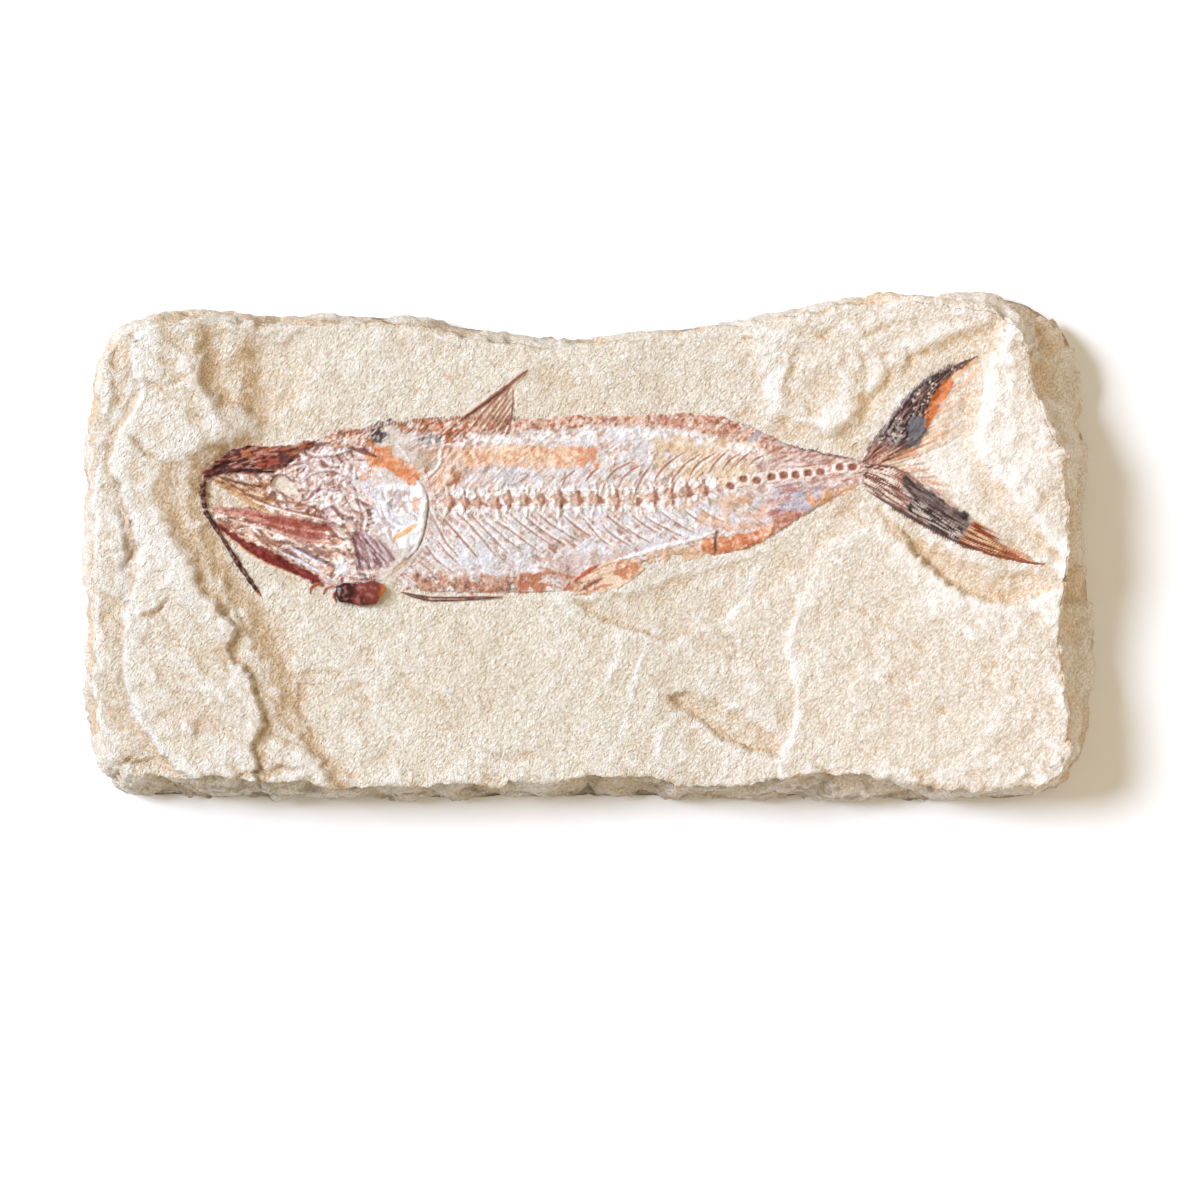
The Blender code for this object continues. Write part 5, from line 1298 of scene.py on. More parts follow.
CHEEK_LINES = paths("-74.2,24.5 -70.1,22.5 -65.5,22.7 -61.2,24; -77.2,19.2 -73.7,21 -69.6,19.7 -67.1,17.7; "
    "-73.9,15.6 -70.4,18.4 -66,19.2 -62.2,17.7; -71.6,11.6 -68.6,14.4 -64.5,13.6; -69.6,8.5 -65.5,10.3 "
    "-62.7,7.7 -59.9,7; -59.9,21.2 -60.5,17.1 -58.7,13.6; -72.6,26.8 -67.6,25.5 -61.7,26; -58.9,11.6 "
    "-57.1,7.7 -57.9,4.2; -68.6,22.2 -66.5,20.2 -63,19.9; -70.9,6.5 -67.6,7.5 -64.5,5 -61.7,2.4")
for k, line in enumerate(CHEEK_LINES):
    stroke(line, 1.0, (124, 74, 60), 0.62, 0.15)
    stroke([(px + 0.9, py + 0.5 - k % 2) for px, py in line], 0.8, (254, 250, 248), 0.55, 0.3)
for line, width, shade, lift in JAW_LINES:
    stroke(line, width, shade, 0.8, lift)
JAW_EDGE = path("-95.5,7.2 -92.7,4.7 -89.2,2.7 -86.6,1.1 -83.8,0.1 -81.3,-1.1 -78.2,-2.7 -74.2,-4.7 "
    "-68.6,-7.7 -67.6,-9.8 -72.1,-8.5 -76.5,-6.5 -81.3,-4.4 -85.1,-2.4 -88.1,-0.4 -90.7,1.9 -93.7,4.4")
area(JAW_EDGE, (122, 46, 40), 1.0, 0.25, None, 0.35, 0.35)
area(JAW_EDGE, (146, 72, 60), 0.6, 0.05, streaks(-36, 3.0, 0.7, 335, 0.3), 0.4)
area(JAW_EDGE, (92, 30, 28), 0.6, 0.0, streaks(-36, 3.0, 0.7, 337, 0.25), 0.4)
stroke("-95,5.5 -91.2,1.7 -87.6,-0.9 -82.5,-4.2 -78,-6 -71.9,-8.5", 0.5, (226, 160, 110), 0.8, 0.1)
for k, (line, shade) in enumerate([("-78.7,-0.9 -75.2,-2.4 -71.1,-4.7 -67.1,-7.2", (124, 104, 116)),
    ("-77.7,0.4 -73.7,-1.4 -69.6,-3.7 -66,-5.7", (226, 222, 230)), ("-77,-2.2 -73.2,-3.9 -69.1,-6.2 "
    "-65.5,-8.3", (232, 228, 232)), ("-75.7,0.1 -71.6,-1.7 -67.6,-3.7 -64.5,-5.7", (110, 84, 92)),
    ("-74.2,1.1 -69.6,-0.6 -64.5,-2.7", (160, 120, 112))]):
    stroke(line, 0.9, shade, 0.85, 0.1 + 0.12 * (k % 2))
area("-64,-4.2 -61,-4.2 -61,-7.2 -63.8,-7.2", (232, 236, 246), 0.8, 0.25, None, 0.5)
for line in paths("-70.6,-12.1 -70.6,-10.8 -69.3,-9.8 -67.3,-9.5; -67.3,-12.3 -66.8,-11 -65.3,-10.3 "
    "-63.8,-10.5; -64,-11.3 -64.8,-12.8 -64,-14.4"):
    stroke(line, 0.7, (184, 88, 52), 1.0, 0.4, 0.4)

# %% Skull roof
ROOF = path("-98.3,17.7 -96.8,20.2 -93.7,22.2 -91.9,24 -88.9,25.1 -85.6,25.4 -80.8,25.1 -77.7,25.4 "
    "-74.4,25.7 -71.1,26.5 -68.6,26.8 -70.1,25 -73.2,23.7 -74.9,21.7 -77.2,19.9 -80.3,18.9 -84.6,18.4 "
    "-88.4,18.4 -92.5,18.4 -95.5,17.4 -97.3,16.4")
area(ROOF, (98, 40, 36), 0.97, 0.3, None, 0.5, 0.4)
area(ROOF, (54, 22, 24), 0.88, -0.08, streaks(8, 6.0, 0.7, 341, 0.5), 0.5)
area(ROOF, (168, 96, 62), 0.75, 0.2, streaks(10, 3.0, 0.4, 343, 0.2), 0.5)
area(ROOF, (206, 160, 140), 0.55, 0.1, streaks(14, 2.0, 0.35, 345, 0.1), 0.5)
area("-85.1,22.7 -79,23.2 -78.5,20.7 -83.8,19.9", (164, 74, 60), 0.85, 0.1, flecks(1.2, 347, 0.7))
area("-88.4,24.8 -85.3,25 -85.6,22.7 -88.1,22.7", (190, 116, 76), 0.85, 0.15, flecks(1.2, 349, 0.75))
area("-78.5,23.5 -75.7,23.7 -75.7,21 -78.2,20.7", (66, 34, 36), 0.8, -0.05, None, 0.7)
stroke("-97.8,17.1 -93,18.9 -86.9,19.2 -79.5,18.7", 1.1, (56, 24, 26), 0.9, 0.2)
stroke("-94.5,17.7 -90.4,16.4 -86.4,15.4 -82.8,15.1", 0.8, (96, 52, 44), 0.85, 0.15)
stroke("-95.5,16.4 -91.9,14.9 -88.4,13.1 -84.8,10.8", 0.65, (192, 148, 104), 0.85, 0.25)
stroke("-73.2,24.3 -68.6,25.8 -64.5,26.5", 0.9, (110, 60, 50), 0.8, 0.1)
EYE = path("-80.5,15.1 -80,17.1 -79,17.9 -77.5,17.7 -75.4,16.1 -73.7,13.6 -73.9,12.8 -75.9,13 -78.7,13.8")
area(EYE, (224, 211, 195), 1.0, 0.0, None, 0.3, 0.12)
eye = smooth_step(signed_distance(x, y, EYE)[0] / 0.8 + 0.3)
canvas.relief = canvas.relief * (1 - eye) - 0.35 * eye
stroke("-80.8,14.9 -80.3,17.1 -78.7,18.2 -77,17.9 -74.7,15.9", 0.6, (110, 66, 52), 0.85, 0.2)

# %% Gill cover and the stains above it
GILL = path("-53.3,14.9 -49,15.9 -44.7,16.1 -41.9,14.1 -41.1,10.5 -41.7,6 -42.7,1.4 -45.5,-1.1 -49,-0.6 "
    "-52.8,2.7 -54.9,7.7")
area(GILL, (236, 240, 248), 0.95, 0.25, None, 1.2, 0.8)
area(GILL, (214, 202, 196), 0.6, -0.08, flecks(2.6, 351, 0.33), 1.0)
area(GILL, (170, 132, 112), 0.6, -0.1, tangled(-60, 3.4, 0.5, 352, 0.16), 1.0)
area(GILL, (255, 255, 255), 0.8, 0.25, tangled(40, 3.0, 1.2, 353, 0.4), 1.0)
area("-51.6,14.1 -45.5,14.1 -46.2,7 -49.8,7.5", (188, 160, 146), 0.7, -0.05, flecks(1.5, 355, 0.5), 0.8)
area("-45,12.1 -42.7,12.1 -42.7,8.8 -44.7,8.8", (230, 176, 138), 0.75, 0.0, flecks(1.2, 357, 0.75), 0.6)
stroke("-50,1.4 -46.5,3.4 -43.2,5.7", 1.2, (242, 184, 120), 0.9, 0.1)
stroke("-53.8,12.3 -51.3,10.8 -49.8,8.5 -48.3,5.5", 0.8, (206, 214, 232), 0.7, 0.2)
LOW_TRIANGLE = path("-59.9,3.2 -54.9,3.2 -49.3,-1.7 -49.8,-4.2 -53.3,-5.7 -58.4,-6.2")
area(LOW_TRIANGLE, (168, 132, 130), 0.85, 0.0, None, 0.8, 0.8)
area(LOW_TRIANGLE, (118, 78, 76), 0.75, -0.05, streaks(-48, 3.0, 0.5, 359, 0.4), 0.8)
area(LOW_TRIANGLE, (226, 216, 220), 0.7, 0.1, streaks(-55, 2.0, 0.4, 361, 0.2), 0.8)
stroke("-59.9,2.9 -58.9,-0.6 -57.7,-5.7", 1.0, (104, 68, 66), 0.85, -0.2)
stroke("-49.8,-6.7 -46.7,-4.2 -44.2,-1.1", 1.3, (146, 116, 88), 0.8, -0.1)
stroke("-51.6,-8.3 -48.3,-5.7 -45.7,-3.7", 0.8, (206, 180, 150), 0.8, 0.2)
REAR_LINE = path("-43.2,17.1 -41.7,15.1 -40.6,12.3 -40.6,9.3 -41.1,5.5 -41.9,2.2 -43.2,-0.9 -45.2,-2.9")
stroke([(px - 0.8, py) for px, py in REAR_LINE], 1.0, (240, 244, 250), 0.85, 0.25, 0.4)
stroke(REAR_LINE, 0.5, (140, 96, 76), 0.9, -0.1, 0.4)

ORANGE = path("-56.4,22.7 -53.6,25.3 -50.8,25.5 -49.8,22.7 -47.2,21.7 -43.7,20.2 -42.7,17.1 -44.2,14.9 "
    "-46.7,16.1 -49.8,18.2 -51.8,19.7 -55.4,18.7")
area(ORANGE, (226, 164, 120), 0.95, 0.1, flecks(2.4, 371, 0.88), 0.8, 0.8)
area(ORANGE, (208, 124, 76), 0.8, 0.05, flecks(1.6, 373, 0.4), 0.7)
area("-61.7,18.2 -56.4,21.7 -51.8,19.2 -51.8,15.1 -54.9,11.6 -59.9,13.6", (238, 236, 240), 0.7, 0.2,
    flecks(1.5, 375, 0.55), 1.2)
area("-59.9,21.2 -55.9,18.2 -53.8,15.1 -57.4,15.6", (232, 170, 134), 0.6, 0.0, flecks(1.5, 377, 0.45), 0.8)
stroke("-61.5,25.3 -58.4,24.5 -55.9,23.5 -53.6,22.5", 1.3, (112, 56, 50), 0.9, 0.1)
PLATE = path("-43.7,24.5 -37.6,24.3 -37.6,20.7 -40.1,17.7 -43.2,18.2 -44.5,21.2")
area(PLATE, (190, 172, 152), 0.8, 0.1, flecks(2.0, 379, 0.7), 0.5)
stroke("-37.6,24.8 -37.6,21.2 -39.1,18.7 -41.7,17.1", 0.8, (244, 240, 240), 0.9, 0.3)
stroke("-48.8,25.8 -46.7,23.7 -45.2,21.2", 0.9, (240, 236, 236), 0.8, 0.25)
area("-41.7,17.1 -37.6,17.7 -36.1,12.1 -39.6,10 -40.6,13.1", (226, 206, 196), 0.6, 0.15, flecks(1.2, 381,
    0.5))

# %% Tufts of the first rays along the neck
TUFTS = [
    (path("-66.5,26.5 -64.8,28.8 -61.7,29.3 -57.9,29.1 -54.9,28.3 -54.9,25.3 -60.5,25 -64.5,25.3"),
        seen(204, 138, 98)),
    (path("-55.6,29.6 -53.3,31.4 -50.5,31.1 -50,28.8 -50.8,26.5 -54.9,26.3"), seen(78, 70, 74)),
    (path("-51.1,31.4 -49,32.6 -48.5,30.9 -49.8,29.3"), seen(86, 78, 82)),
    (path("-48.5,30.9 -44.5,31.1 -43.7,28.3 -47.8,27.8"), seen(206, 138, 96)),
    (path("-44.2,31.9 -38.1,32.6 -37.6,29.3 -42.7,28.3"), seen(198, 134, 98)),
    (path("-43.2,28.3 -37.3,28.8 -37.1,25.5 -42.7,25"), seen(160, 152, 152)),
    (path("-38.1,31.6 -31.2,31.9 -31,27.3 -37.1,26.3"), seen(196, 116, 78)),
]
for k, (outline, shade) in enumerate(TUFTS):
    area(outline, shade, 0.95, 0.25, flecks(1.3, 391 + k, 0.85 if k in (1, 2) else 0.68), 0.4, 0.9, 401 + k)
    area(outline, shade * 0.45, 0.75, 0.05, streaks(60, 1.6, 0.4, 411 + k, 0.3), 0.5, 0.7)
    area(outline, (240, 228, 216), 0.7, 0.12, streaks(40, 1.4, 0.4, 421 + k, 0.18), 0.5)

# %% [markdown]
# ## Fins
#
# A fin is a fan of rays. In the tail the rays are packed so close that each lobe is a dark blade with a
# spiky outer fringe; towards the fork they thin out into single amber hairs on bare stone. The dorsal fin is
# a stout leading ray with a thin brown fan behind it.

# %% Upper lobe of the tail
LOBE_ROOT = (67.1, 18.2)
UPPER_DARK = path("69.6,21.2 71.1,24.5 74.2,28.3 77.2,32.4 79.5,35.4 82,38.5 84.6,40.8 87.1,42.8 90.2,44.6 "
    "93.2,46.1 95.8,47.1 98.8,48.1 96,45.8 92.5,43.6 89.9,41 87.6,38 86.4,34.7 86.1,30.9 84.8,27.6 "
    "81.8,24.8 78.2,22.7 74.2,21 70.6,19.2")


def blade(outer, inner):
    """Where each point lies in a lobe: 0 to 1 from its outer to its inner edge, and 0 to 1 from root to
    tip."""
    from_outer, along = line_distance(x, y, rounded(outer, 40))
    from_inner, _ = line_distance(x, y, rounded(inner, 40))
    return from_outer / np.maximum(from_outer + from_inner, 1e-6), along


def rays(across, along, count, long, seed, share):
    """Streaks from root to tip, about count of them side by side, each long mm."""
    return share_of(relief_noise(across * count, along * 36.0 / long, 1.0, seed), share)


across, along = blade(UPPER_DARK[:12], [UPPER_DARK[0]] + UPPER_DARK[:10:-1])
dark_depth = signed_distance(x, y, UPPER_DARK)[0]
lobe_depth = signed_distance(x, y, UPPER_LOBE)[0]
hair_reach = smooth_step((lobe_depth + 0.5) / 3.0) * np.exp(-np.clip(-dark_depth - 1.0, 0, 20) / 3.6)
paint(0.85 * hair_reach * fan(LOBE_ROOT, 35, 7.0, 0.5, 431, 0.42, 25.0)(x, y), (226, 168, 118), 0.15)
paint(0.8 * hair_reach * fan(LOBE_ROOT, 35, 6.0, 0.45, 433, 0.2, 25.0)(x, y), (184, 110, 70), 0.12)
area(UPPER_DARK, (80, 54, 54), 0.97, 0.3, None, 0.35, 0.35)
part_dark = smooth_step(dark_depth / 0.5 + 0.4)
paint(0.85 * part_dark * rays(across, along, 17, 5.0, 435, 0.45), (40, 26, 30), 0.05)
paint(0.75 * part_dark * rays(across, along, 19, 2.5, 437, 0.17), (156, 126, 116), 0.2)
paint(0.7 * part_dark * flecks(0.7, 439, 0.1)(x, y), (236, 222, 208), 0.15)
area("70.6,19.2 71.1,24.3 74.7,26.8 76.7,24.8 75.2,21.7", (160, 98, 88), 0.7, 0.05, fan(LOBE_ROOT, 45, 4.0,
    0.5, 441, 0.5), 1.2)
area("81.3,32.4 85.9,33.1 86.4,28.8 83.8,25.3 80.8,25.8", (106, 106, 112), 0.85, 0.0, None, 0.7)
area("75.7,30.9 79.2,32.4 80.8,27.8 77.7,24.8 75.7,26.3", (200, 190, 186), 0.5, 0.1, flecks(0.9, 443, 0.3))
ORANGE_PATCH = path("92.7,42.8 90.4,41.8 88.4,39.5 86.9,37 85.6,33.4 85.9,30.1 87.6,32.4 89.2,35.4 "
    "90.9,38.2 92.5,40.5")
area(ORANGE_PATCH, (214, 128, 74), 0.95, 0.12, None, 0.7, 0.6)
area(ORANGE_PATCH, (176, 88, 48), 0.6, 0.05, fan(LOBE_ROOT, 45, 3.0, 0.5, 445, 0.3, 25.0), 0.6)

# %% Lower lobe of the tail
LOWER_DARK = path("80,16.8 84.1,15.2 88,12.8 90.9,10.9 95.2,8.4 98.4,5.4 100,1 100,-1.2 96,-0.1 91.9,1.7 "
    "87.9,3.9 84.3,6.2 80.8,8.5 82.3,11.6")

low_outer = path("69.8,15.1 73.2,12.6 78.2,9.5 83.3,6.2 88.4,3.2 93.5,0.6 98.6,-1.4 104.6,-3.2 110.2,-4.4 "
    "116.6,-5.2")
low_inner = path("69.8,21.2 76.7,20.7 82.3,18.2 86.9,14.6 90.9,12 95,9.2 99.6,6 104.6,3.4 110.2,-0.1 "
    "116.6,-5.2")
across, along = blade(low_outer, low_inner)
low_depth = signed_distance(x, y, loop(low_outer, low_inner))[0]
lower = smooth_step((low_depth + 0.35 * fray) / 0.6 + 0.4)
place = along + 0.07 * rough(x, y, 4.0, 448)
hairs = smooth_step((low_depth + 7.0) / 5.0) * smooth_step((x - 70) / 3) * smooth_step((y - 0.62 * (72 - x)
    - 18) / 2)
hairs = hairs * smooth_step((96 - x) / 12) * smooth_step((30 - y) / 4)
paint(0.7 * hairs * fan(LOBE_ROOT, 0, 5.0, 0.5, 449, 0.36, 20.0)(x, y), (228, 182, 150), 0.12)
paint(0.65 * hairs * fan(LOBE_ROOT, 0, 4.0, 0.4, 450, 0.16, 20.0)(x, y), (176, 112, 84), 0.12)
root_part = lower * smooth_step((0.56 - place) / 0.16)
dark_depth = signed_distance(x, y, LOWER_DARK)[0] + 1.3 * rough(x, y, 3.0, 446) + 0.5 * relief_noise(x, y,
    0.8, 447)
dark_part = lower * smooth_step(dark_depth / 1.2 + 0.5)
feather = smooth_step((1.15 - 1.4 * (place - 0.58) - across) / 0.3 + 0.8 * relief_noise(22 * across,
    9 * along, 1.0, 448))
tip_part = lower * smooth_step((place - 0.54) / 0.06) * feather
paint(0.92 * root_part, (160, 116, 102), 0.25)
paint(0.85 * root_part * rays(across, along, 34, 4.0, 453, 0.42), (104, 58, 50), 0.08)
paint(0.8 * root_part * rays(across, along, 36, 2.6, 455, 0.22), (246, 228, 210), 0.25)
paint(0.94 * dark_part, (98, 79, 74), 0.1)
paint(0.85 * dark_part * rays(across, along, 32, 4.0, 457, 0.55), (44, 34, 36), 0.05)
paint(0.8 * dark_part * smooth_step((across - 0.68) / 0.2), (58, 48, 50), 0.1)
pale_side = 0.2 + 0.65 * smooth_step((0.65 - across) / 0.3)
paint(0.9 * pale_side * dark_part * rays(across, along, 38, 1.8, 459, 0.24), (226, 210, 192), 0.25)
warmth = smooth_step((0.86 - place) / 0.22)
paint(0.93 * tip_part, (186, 124, 86), 0.2)
paint(0.92 * tip_part * warmth, (122, 62, 44), 0.05)
paint(0.8 * tip_part * rays(across, along, 22, 5.0, 461, 0.33), (140, 62, 36), 0.08)
paint(0.6 * tip_part * rays(across, along, 22, 4.0, 463, 0.18), (252, 222, 178), 0.15)
stroke("100.6,-1.7 105.9,-2.9 111,-4.2 116.1,-4.7", 0.7, (130, 64, 46), 0.9, 0.1, 0.4)
stroke("70.6,14.1 76.7,10.3 84.3,6 91.9,1.7 98.3,-0.9", 0.9, (78, 52, 52), 0.9, 0.1, 0.4)

# %% Fringes of the tail and the back
random = np.random.default_rng(471)


def fringe(edge, count, length, lean, shade, width=0.4):
    """Short spikes along an edge, square to it but leaning forward along it by lean."""
    points = rounded(edge, count + 2)
    tangent = np.gradient(points, axis=0)
    tangent /= np.hypot(*tangent.T)[:, None]
    for (px, py), (tx, ty) in zip(points[1:-1], tangent[1:-1]):
        reach = length * random.uniform(0.5, 1.2)
        tip = (px + reach * (lean * tx - ty), py + reach * (lean * ty + tx))
        stroke([(px + 0.5 * ty, py - 0.5 * tx), (px, py), tip], width, shade, 0.9, 0.2, 0.35)


fringe(path("70.6,23.7") + UPPER_DARK[2:10], 60, 0.9, 0.5, (60, 44, 48))
fringe(path("98.3,-1.1 91.9,1.4 84.3,5.7 76.7,10"), 34, 0.7, -0.5, (84, 60, 58))
fringe(path("-64.3,28.6 -58.4,28.8 -54.9,30.1 -50.5,30.9 -44.7,31.4 -38.1,32.1 -30,32.4 -17.3,32.1"), 60,
    0.8, 0.4, (150, 92, 66))

# %% Dorsal fin
RAY_ROOT = (-25.4, 26.3)
dorsal = smooth_step((signed_distance(x, y, DORSAL)[0] + 0.3 * fray) / 0.6 + 0.2)
paint(0.55 * dorsal, (214, 184, 156), 0.15)
paint(0.6 * dorsal * fan(RAY_ROOT, 60, 6.0, 0.5, 481, 0.4, 20.0)(x, y), (170, 118, 92), 0.1)
DORSAL_RAYS = paths("-29,28.3 -23.9,34.9 -19.6,40.3; -27.4,28.3 -22.9,34.4 -19.3,39.2; -25.9,28.3 "
    "-22.1,33.9 -19.3,37.7; -24.6,28.3 -21.6,32.9 -19.1,36.4; -23.4,28.3 -20.8,32.1 -19.1,34.9; -22.1,28.3 "
    "-20.3,31.4 -19.3,33.4; -21.1,27.8 -19.8,30.6 -19.1,36.4 -19.1,40; -30.5,28.8 -26.4,34.2 -22.4,38.5")
for line in DORSAL_RAYS:
    stroke(line, 0.5, (150, 98, 78), 0.85, 0.25, 0.5)
stroke("-32.8,31.6 -31.5,32.6 -25.4,37 -20.6,40.5 -17.3,43.3 -15.5,44.6", 1.15, (140, 84, 68), 0.95, 0.4,
    0.3)
stroke("-31.5,32.4 -25.4,36.7 -20.6,40.3", 0.5, (92, 56, 54), 0.8, 0.05)
stroke("-32,32.9 -28.4,35.4 -24.9,38", 0.4, (224, 190, 170), 0.7, 0.1)

# %% [markdown]
# ## Cut the film into bones
#
# Each cell of the lattice goes to the bone whose outline in the solid model is nearest. The film's top is
# the stone's surface plus its relief, and outside the outlines it dives under the stone. A copy one
# millimetre lower and a wall around the edge make each bone a closed solid.

# %% Surface of the film
outside = depth_in(x, y, FILM_OUTLINES)
ground = face_height(x, y)
# the film gets the same chalk with painted highlight and tan painted shade as the ground under it
film_chalk, film_hollow = edge_tones(ground, FILM_REACH)
shown = np.maximum(smooth_step((outside + 0.35) / 0.6), smooth_step((canvas.cover - 0.1) / 0.3))
film_z = ground + np.clip(canvas.relief, -0.6, 1.2) - EDGE_SINK * (1 - shown)
print("film relief:", canvas.relief.min().round(2), "to", canvas.relief.max().round(2), "mm")

BONES = [
    ("skull_bone", "skull", loop(SKULL_BOTTOM, SKULL_TOP), dark_finish, "dark_bone"),
    ("jaw_bone", "lower_jaw", loop(JAW_BOTTOM, JAW_TOP), pink_finish, "pink_bone"),
    ("gill_plate", "gill_cover", loop(GILL_FRONT, GILL_REAR), silver_finish, "silver_scale"),
    ("back_film", "back_flank", loop(BACK_BOTTOM, BACK_TOP), silver_finish, "silver_scale"),
    ("vertebrae", "backbone", [(px, py - 1.6) for px, py in BACKBONE] + [(px, py + 1.6) for px,
        py in BACKBONE[::-1]], pink_finish, "pink_bone"),
    ("belly_film", "belly_flank", loop(BELLY_BOTTOM, BELLY_TOP), silver_finish, "silver_scale"),
    ("dorsal_rays", "dorsal_fin", loop(DORSAL_TRAIL, DORSAL_LEAD), ray_finish, "rust_ray"),
    ("pelvic_rays", "pelvic_fin", loop(PELVIC_BOTTOM, PELVIC_TOP), dark_finish, "dark_bone"),
    ("anal_rays", "anal_fin", loop(ANAL_BOTTOM, ANAL_TOP), ray_finish, "rust_ray"),
    ("tail_upper", "tail_fin_upper", loop(TAIL_UPPER_INNER, TAIL_UPPER_OUTER), dark_finish, "dark_bone"),
    ("tail_lower", "tail_fin_lower", loop(TAIL_LOWER_OUTER, TAIL_LOWER_INNER), ray_finish, "rust_ray"),
]
nearest = np.argmax([signed_distance(x, y, bone[2])[0] for bone in BONES], axis=0)[:-1, :-1]
near_film = np.maximum(outside + 0.9, 20 * (canvas.cover - 0.05))
near_film[1:-1, 1:-1] = np.maximum.reduce([near_film[i:i + near_film.shape[0] - 2,
    j:j + near_film.shape[1] - 2]
    for i in range(3) for j in range(3)])
kept = np.maximum.reduce([near_film[:-1, :-1], near_film[1:, :-1], near_film[:-1, 1:], near_film[1:,
    1:]]) > 0

# %% Closed solids
FILM_DEPTH = 1.0


def cut_piece(name, node, cells, finish, slot_name):
    """The given cells of the lattice as one closed solid."""
    used = np.zeros(x.shape, bool)
    for di in (0, 1):
        for dj in (0, 1):
            used[di:di + cells.shape[0], dj:dj + cells.shape[1]] |= cells
    count = int(used.sum())
    number = np.full(x.shape, -1)
    number[used] = np.arange(count)
    i, j = np.nonzero(cells)
    quads = np.column_stack([number[i, j], number[i + 1, j], number[i + 1, j + 1], number[i, j + 1]])
    framed = np.pad(cells, 1)
    faces = [quads, quads[:, ::-1] + count]
    for (di, dj), (a, b) in {(0, -1): (0, 1), (1, 0): (1, 2), (0, 1): (2, 3), (-1, 0): (3, 0)}.items():
        open_side = ~framed[i + 1 + di, j + 1 + dj]
        first, second = quads[open_side, a], quads[open_side, b]
        faces.append(np.column_stack([second, first, first + count, second + count]))
    top = np.column_stack([x[used], y[used], film_z[used]])
    low = np.column_stack([x[used], y[used], ground[used] - FILM_DEPTH])
    twice = lambda values: np.concatenate([values[used], values[used]])
    make_piece(name, np.vstack([top, low]), np.vstack(faces), finish.material, slot_name, (node,),
               colour=twice(np.clip(canvas.colour, 0, 1)), cover=twice(canvas.cover),
               chalk=twice(film_chalk), hollow=twice(film_hollow), dirt=np.zeros(2 * count),
               stain=np.zeros(2 * count))


for number, (name, node, _, finish, slot_name) in enumerate(BONES):
    cut_piece(name, node, kept & (nearest == number), finish, slot_name)

# %% [markdown]
# ## Loose rods and lump
#
# A thin dark bone lies broken in front of the mouth, and a glossy maroon nodule hangs under the throat. They
# stand on the stone instead of lying in it, so each is a tube or a ball of its own.

# %% Loose rods
AROUND = 16                        # points around a rod


def rod(name, node, line, radii, count):
    """A tube of uneven thickness along a line that rests on the stone, with closed ends."""
    spine_points = rounded(line, count)
    share = np.linspace(0, 1, count)
    radius = np.interp(share, np.linspace(0, 1, len(radii)), radii)
    radius = radius * (1 + 0.3 * relief_noise(spine_points[:, 0], spine_points[:, 1], 0.9, 481))
    tangent = np.gradient(spine_points, axis=0)
    tangent /= np.hypot(*tangent.T)[:, None]
    height = face_height(*spine_points.T) + 0.35 * radius
    turn = np.linspace(0, 2 * np.pi, AROUND, endpoint=False)[None, :]
    side, rise = radius[:, None] * np.cos(turn), 0.9 * radius[:, None] * np.sin(turn)
    px = spine_points[:, :1] - side * tangent[:, 1:]
    py = spine_points[:, 1:] + side * tangent[:, :1]
    pz = height[:, None] + rise + 0.06 * relief_noise(px, py, 0.5, 483)
    points = np.column_stack([px.ravel(), py.ravel(), pz.ravel()])
    first = (np.arange(count - 1)[:, None] * AROUND + np.arange(AROUND)[None, :]).ravel()
    beside = (np.arange(count - 1)[:, None] * AROUND + (np.arange(AROUND)[None, :] + 1) % AROUND).ravel()
    faces = [list(f) for f in np.column_stack([first, beside, beside + AROUND, first + AROUND])]
    faces += [list(range(AROUND))[::-1], list(range((count - 1) * AROUND, count * AROUND))]
    speck = share_of(relief_noise(px, py, 0.6, 485), 0.3)[..., None]
    colour = seen(70, 38, 36) * (1 - speck) + seen(128, 92, 82) * speck
    tip = smooth_step((-11.6 - py) / 0.8)[..., None]
    colour = colour * (1 - tip) + seen(184, 108, 74) * tip
    count = len(points)
    make_piece(name, points, faces, dark_finish.material, "dark_bone", (node,), colour=colour.reshape(-1,
        3), cover=np.ones(count), chalk=np.zeros(count), hollow=np.zeros(count), dirt=np.zeros(count),
        stain=np.zeros(count))


rod("short_rod", "loose_rod_short", path("-97.3,16.9 -97.8,15.1 -97.9,12.6 -97.3,9.5"), [0.3, 0.75, 0.8,
    0.7, 0.45], 70)
rod("long_rod", "loose_rod_long", path("-97.3,8.8 -95.5,6 -93.2,2.4 -90.7,-1.7 -87.9,-6 -85.1,-10 "
    "-83.1,-12.8"), [0.55, 0.5, 0.5, 0.55, 0.6, 0.55, 0.3], 200)

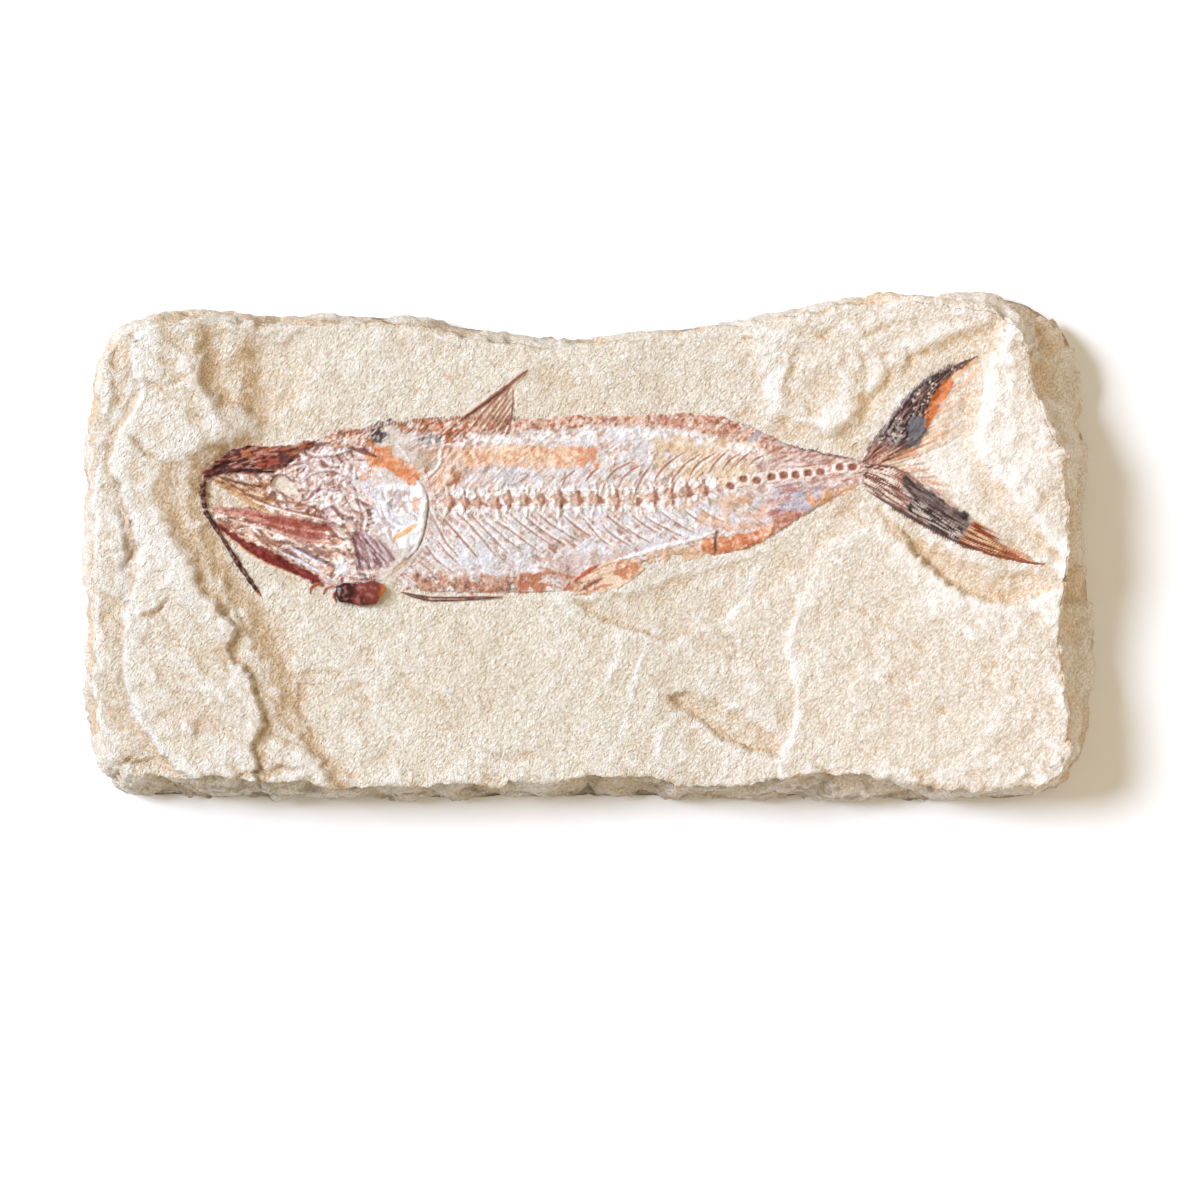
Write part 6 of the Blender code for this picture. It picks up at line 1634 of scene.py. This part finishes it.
# %% Glossy lump
LUMP_EDGE = path("-63.8,-10.3 -61.7,-9.3 -57.9,-9.8 -54.9,-8.8 -52.6,-9.5 -51.1,-11.3 -52.6,-13.1 "
    "-53.8,-14.9 -57.9,-15.4 -61,-14.6 -63.2,-14.4 -64.3,-12.3")


def lump():
    """Rings of the drawn outline that shrink towards the top and the foot, pushed about by noise."""
    rows, columns = 48, 120
    edge = rounded(LUMP_EDGE, columns, closed=True)
    tilt = np.linspace(0.03, np.pi - 0.03, rows)[:, None]
    shrink = np.sin(tilt) ** 0.5
    px = LUMP_CENTRE[0] + (edge[None, :, 0] - LUMP_CENTRE[0]) * shrink
    py = LUMP_CENTRE[1] + (edge[None, :, 1] - LUMP_CENTRE[1]) * shrink
    swell = 1 + 0.12 * relief_noise(px, py, 3.0, 301) + 0.1 * facets(px, py, 2.6, 302)
    pz = BED_HEIGHT + 0.2 + LUMP_RADII[2] * (1 + np.cos(tilt) * swell)
    points = np.column_stack([px.ravel(), py.ravel(), pz.ravel()])
    first = (np.arange(rows - 1)[:, None] * columns + np.arange(columns)[None, :]).ravel()
    beside = (np.arange(rows - 1)[:, None] * columns + (np.arange(columns)[None, :] + 1) % columns).ravel()
    faces = [list(f) for f in np.column_stack([first, first + columns, beside + columns, beside])]
    faces += [list(range(columns)), list(range((rows - 1) * columns, rows * columns))[::-1]]
    shade = smooth_step((px + 59.5) / 3 + 0.8 * relief_noise(px, py, 1.8, 303)).ravel()[:, None]
    colour = seen(58, 22, 22) * (1 - shade) + seen(124, 58, 50) * shade
    speck = share_of(relief_noise(px, py, 0.7, 304), 0.1).ravel()[:, None]
    colour = colour * (1 - 0.3 * speck) + seen(196, 142, 126) * 0.3 * speck
    tip = smooth_step((px + 53.4 + 0.5 * relief_noise(px, py, 1.0, 305)) / 1.2).ravel()[:, None]
    colour = colour * (1 - tip) + seen(214, 120, 66) * tip
    make_piece("maroon_lump", points, faces, gloss_finish.material, "dark_bone", ("dark_lump",),
        colour=colour)


lump()
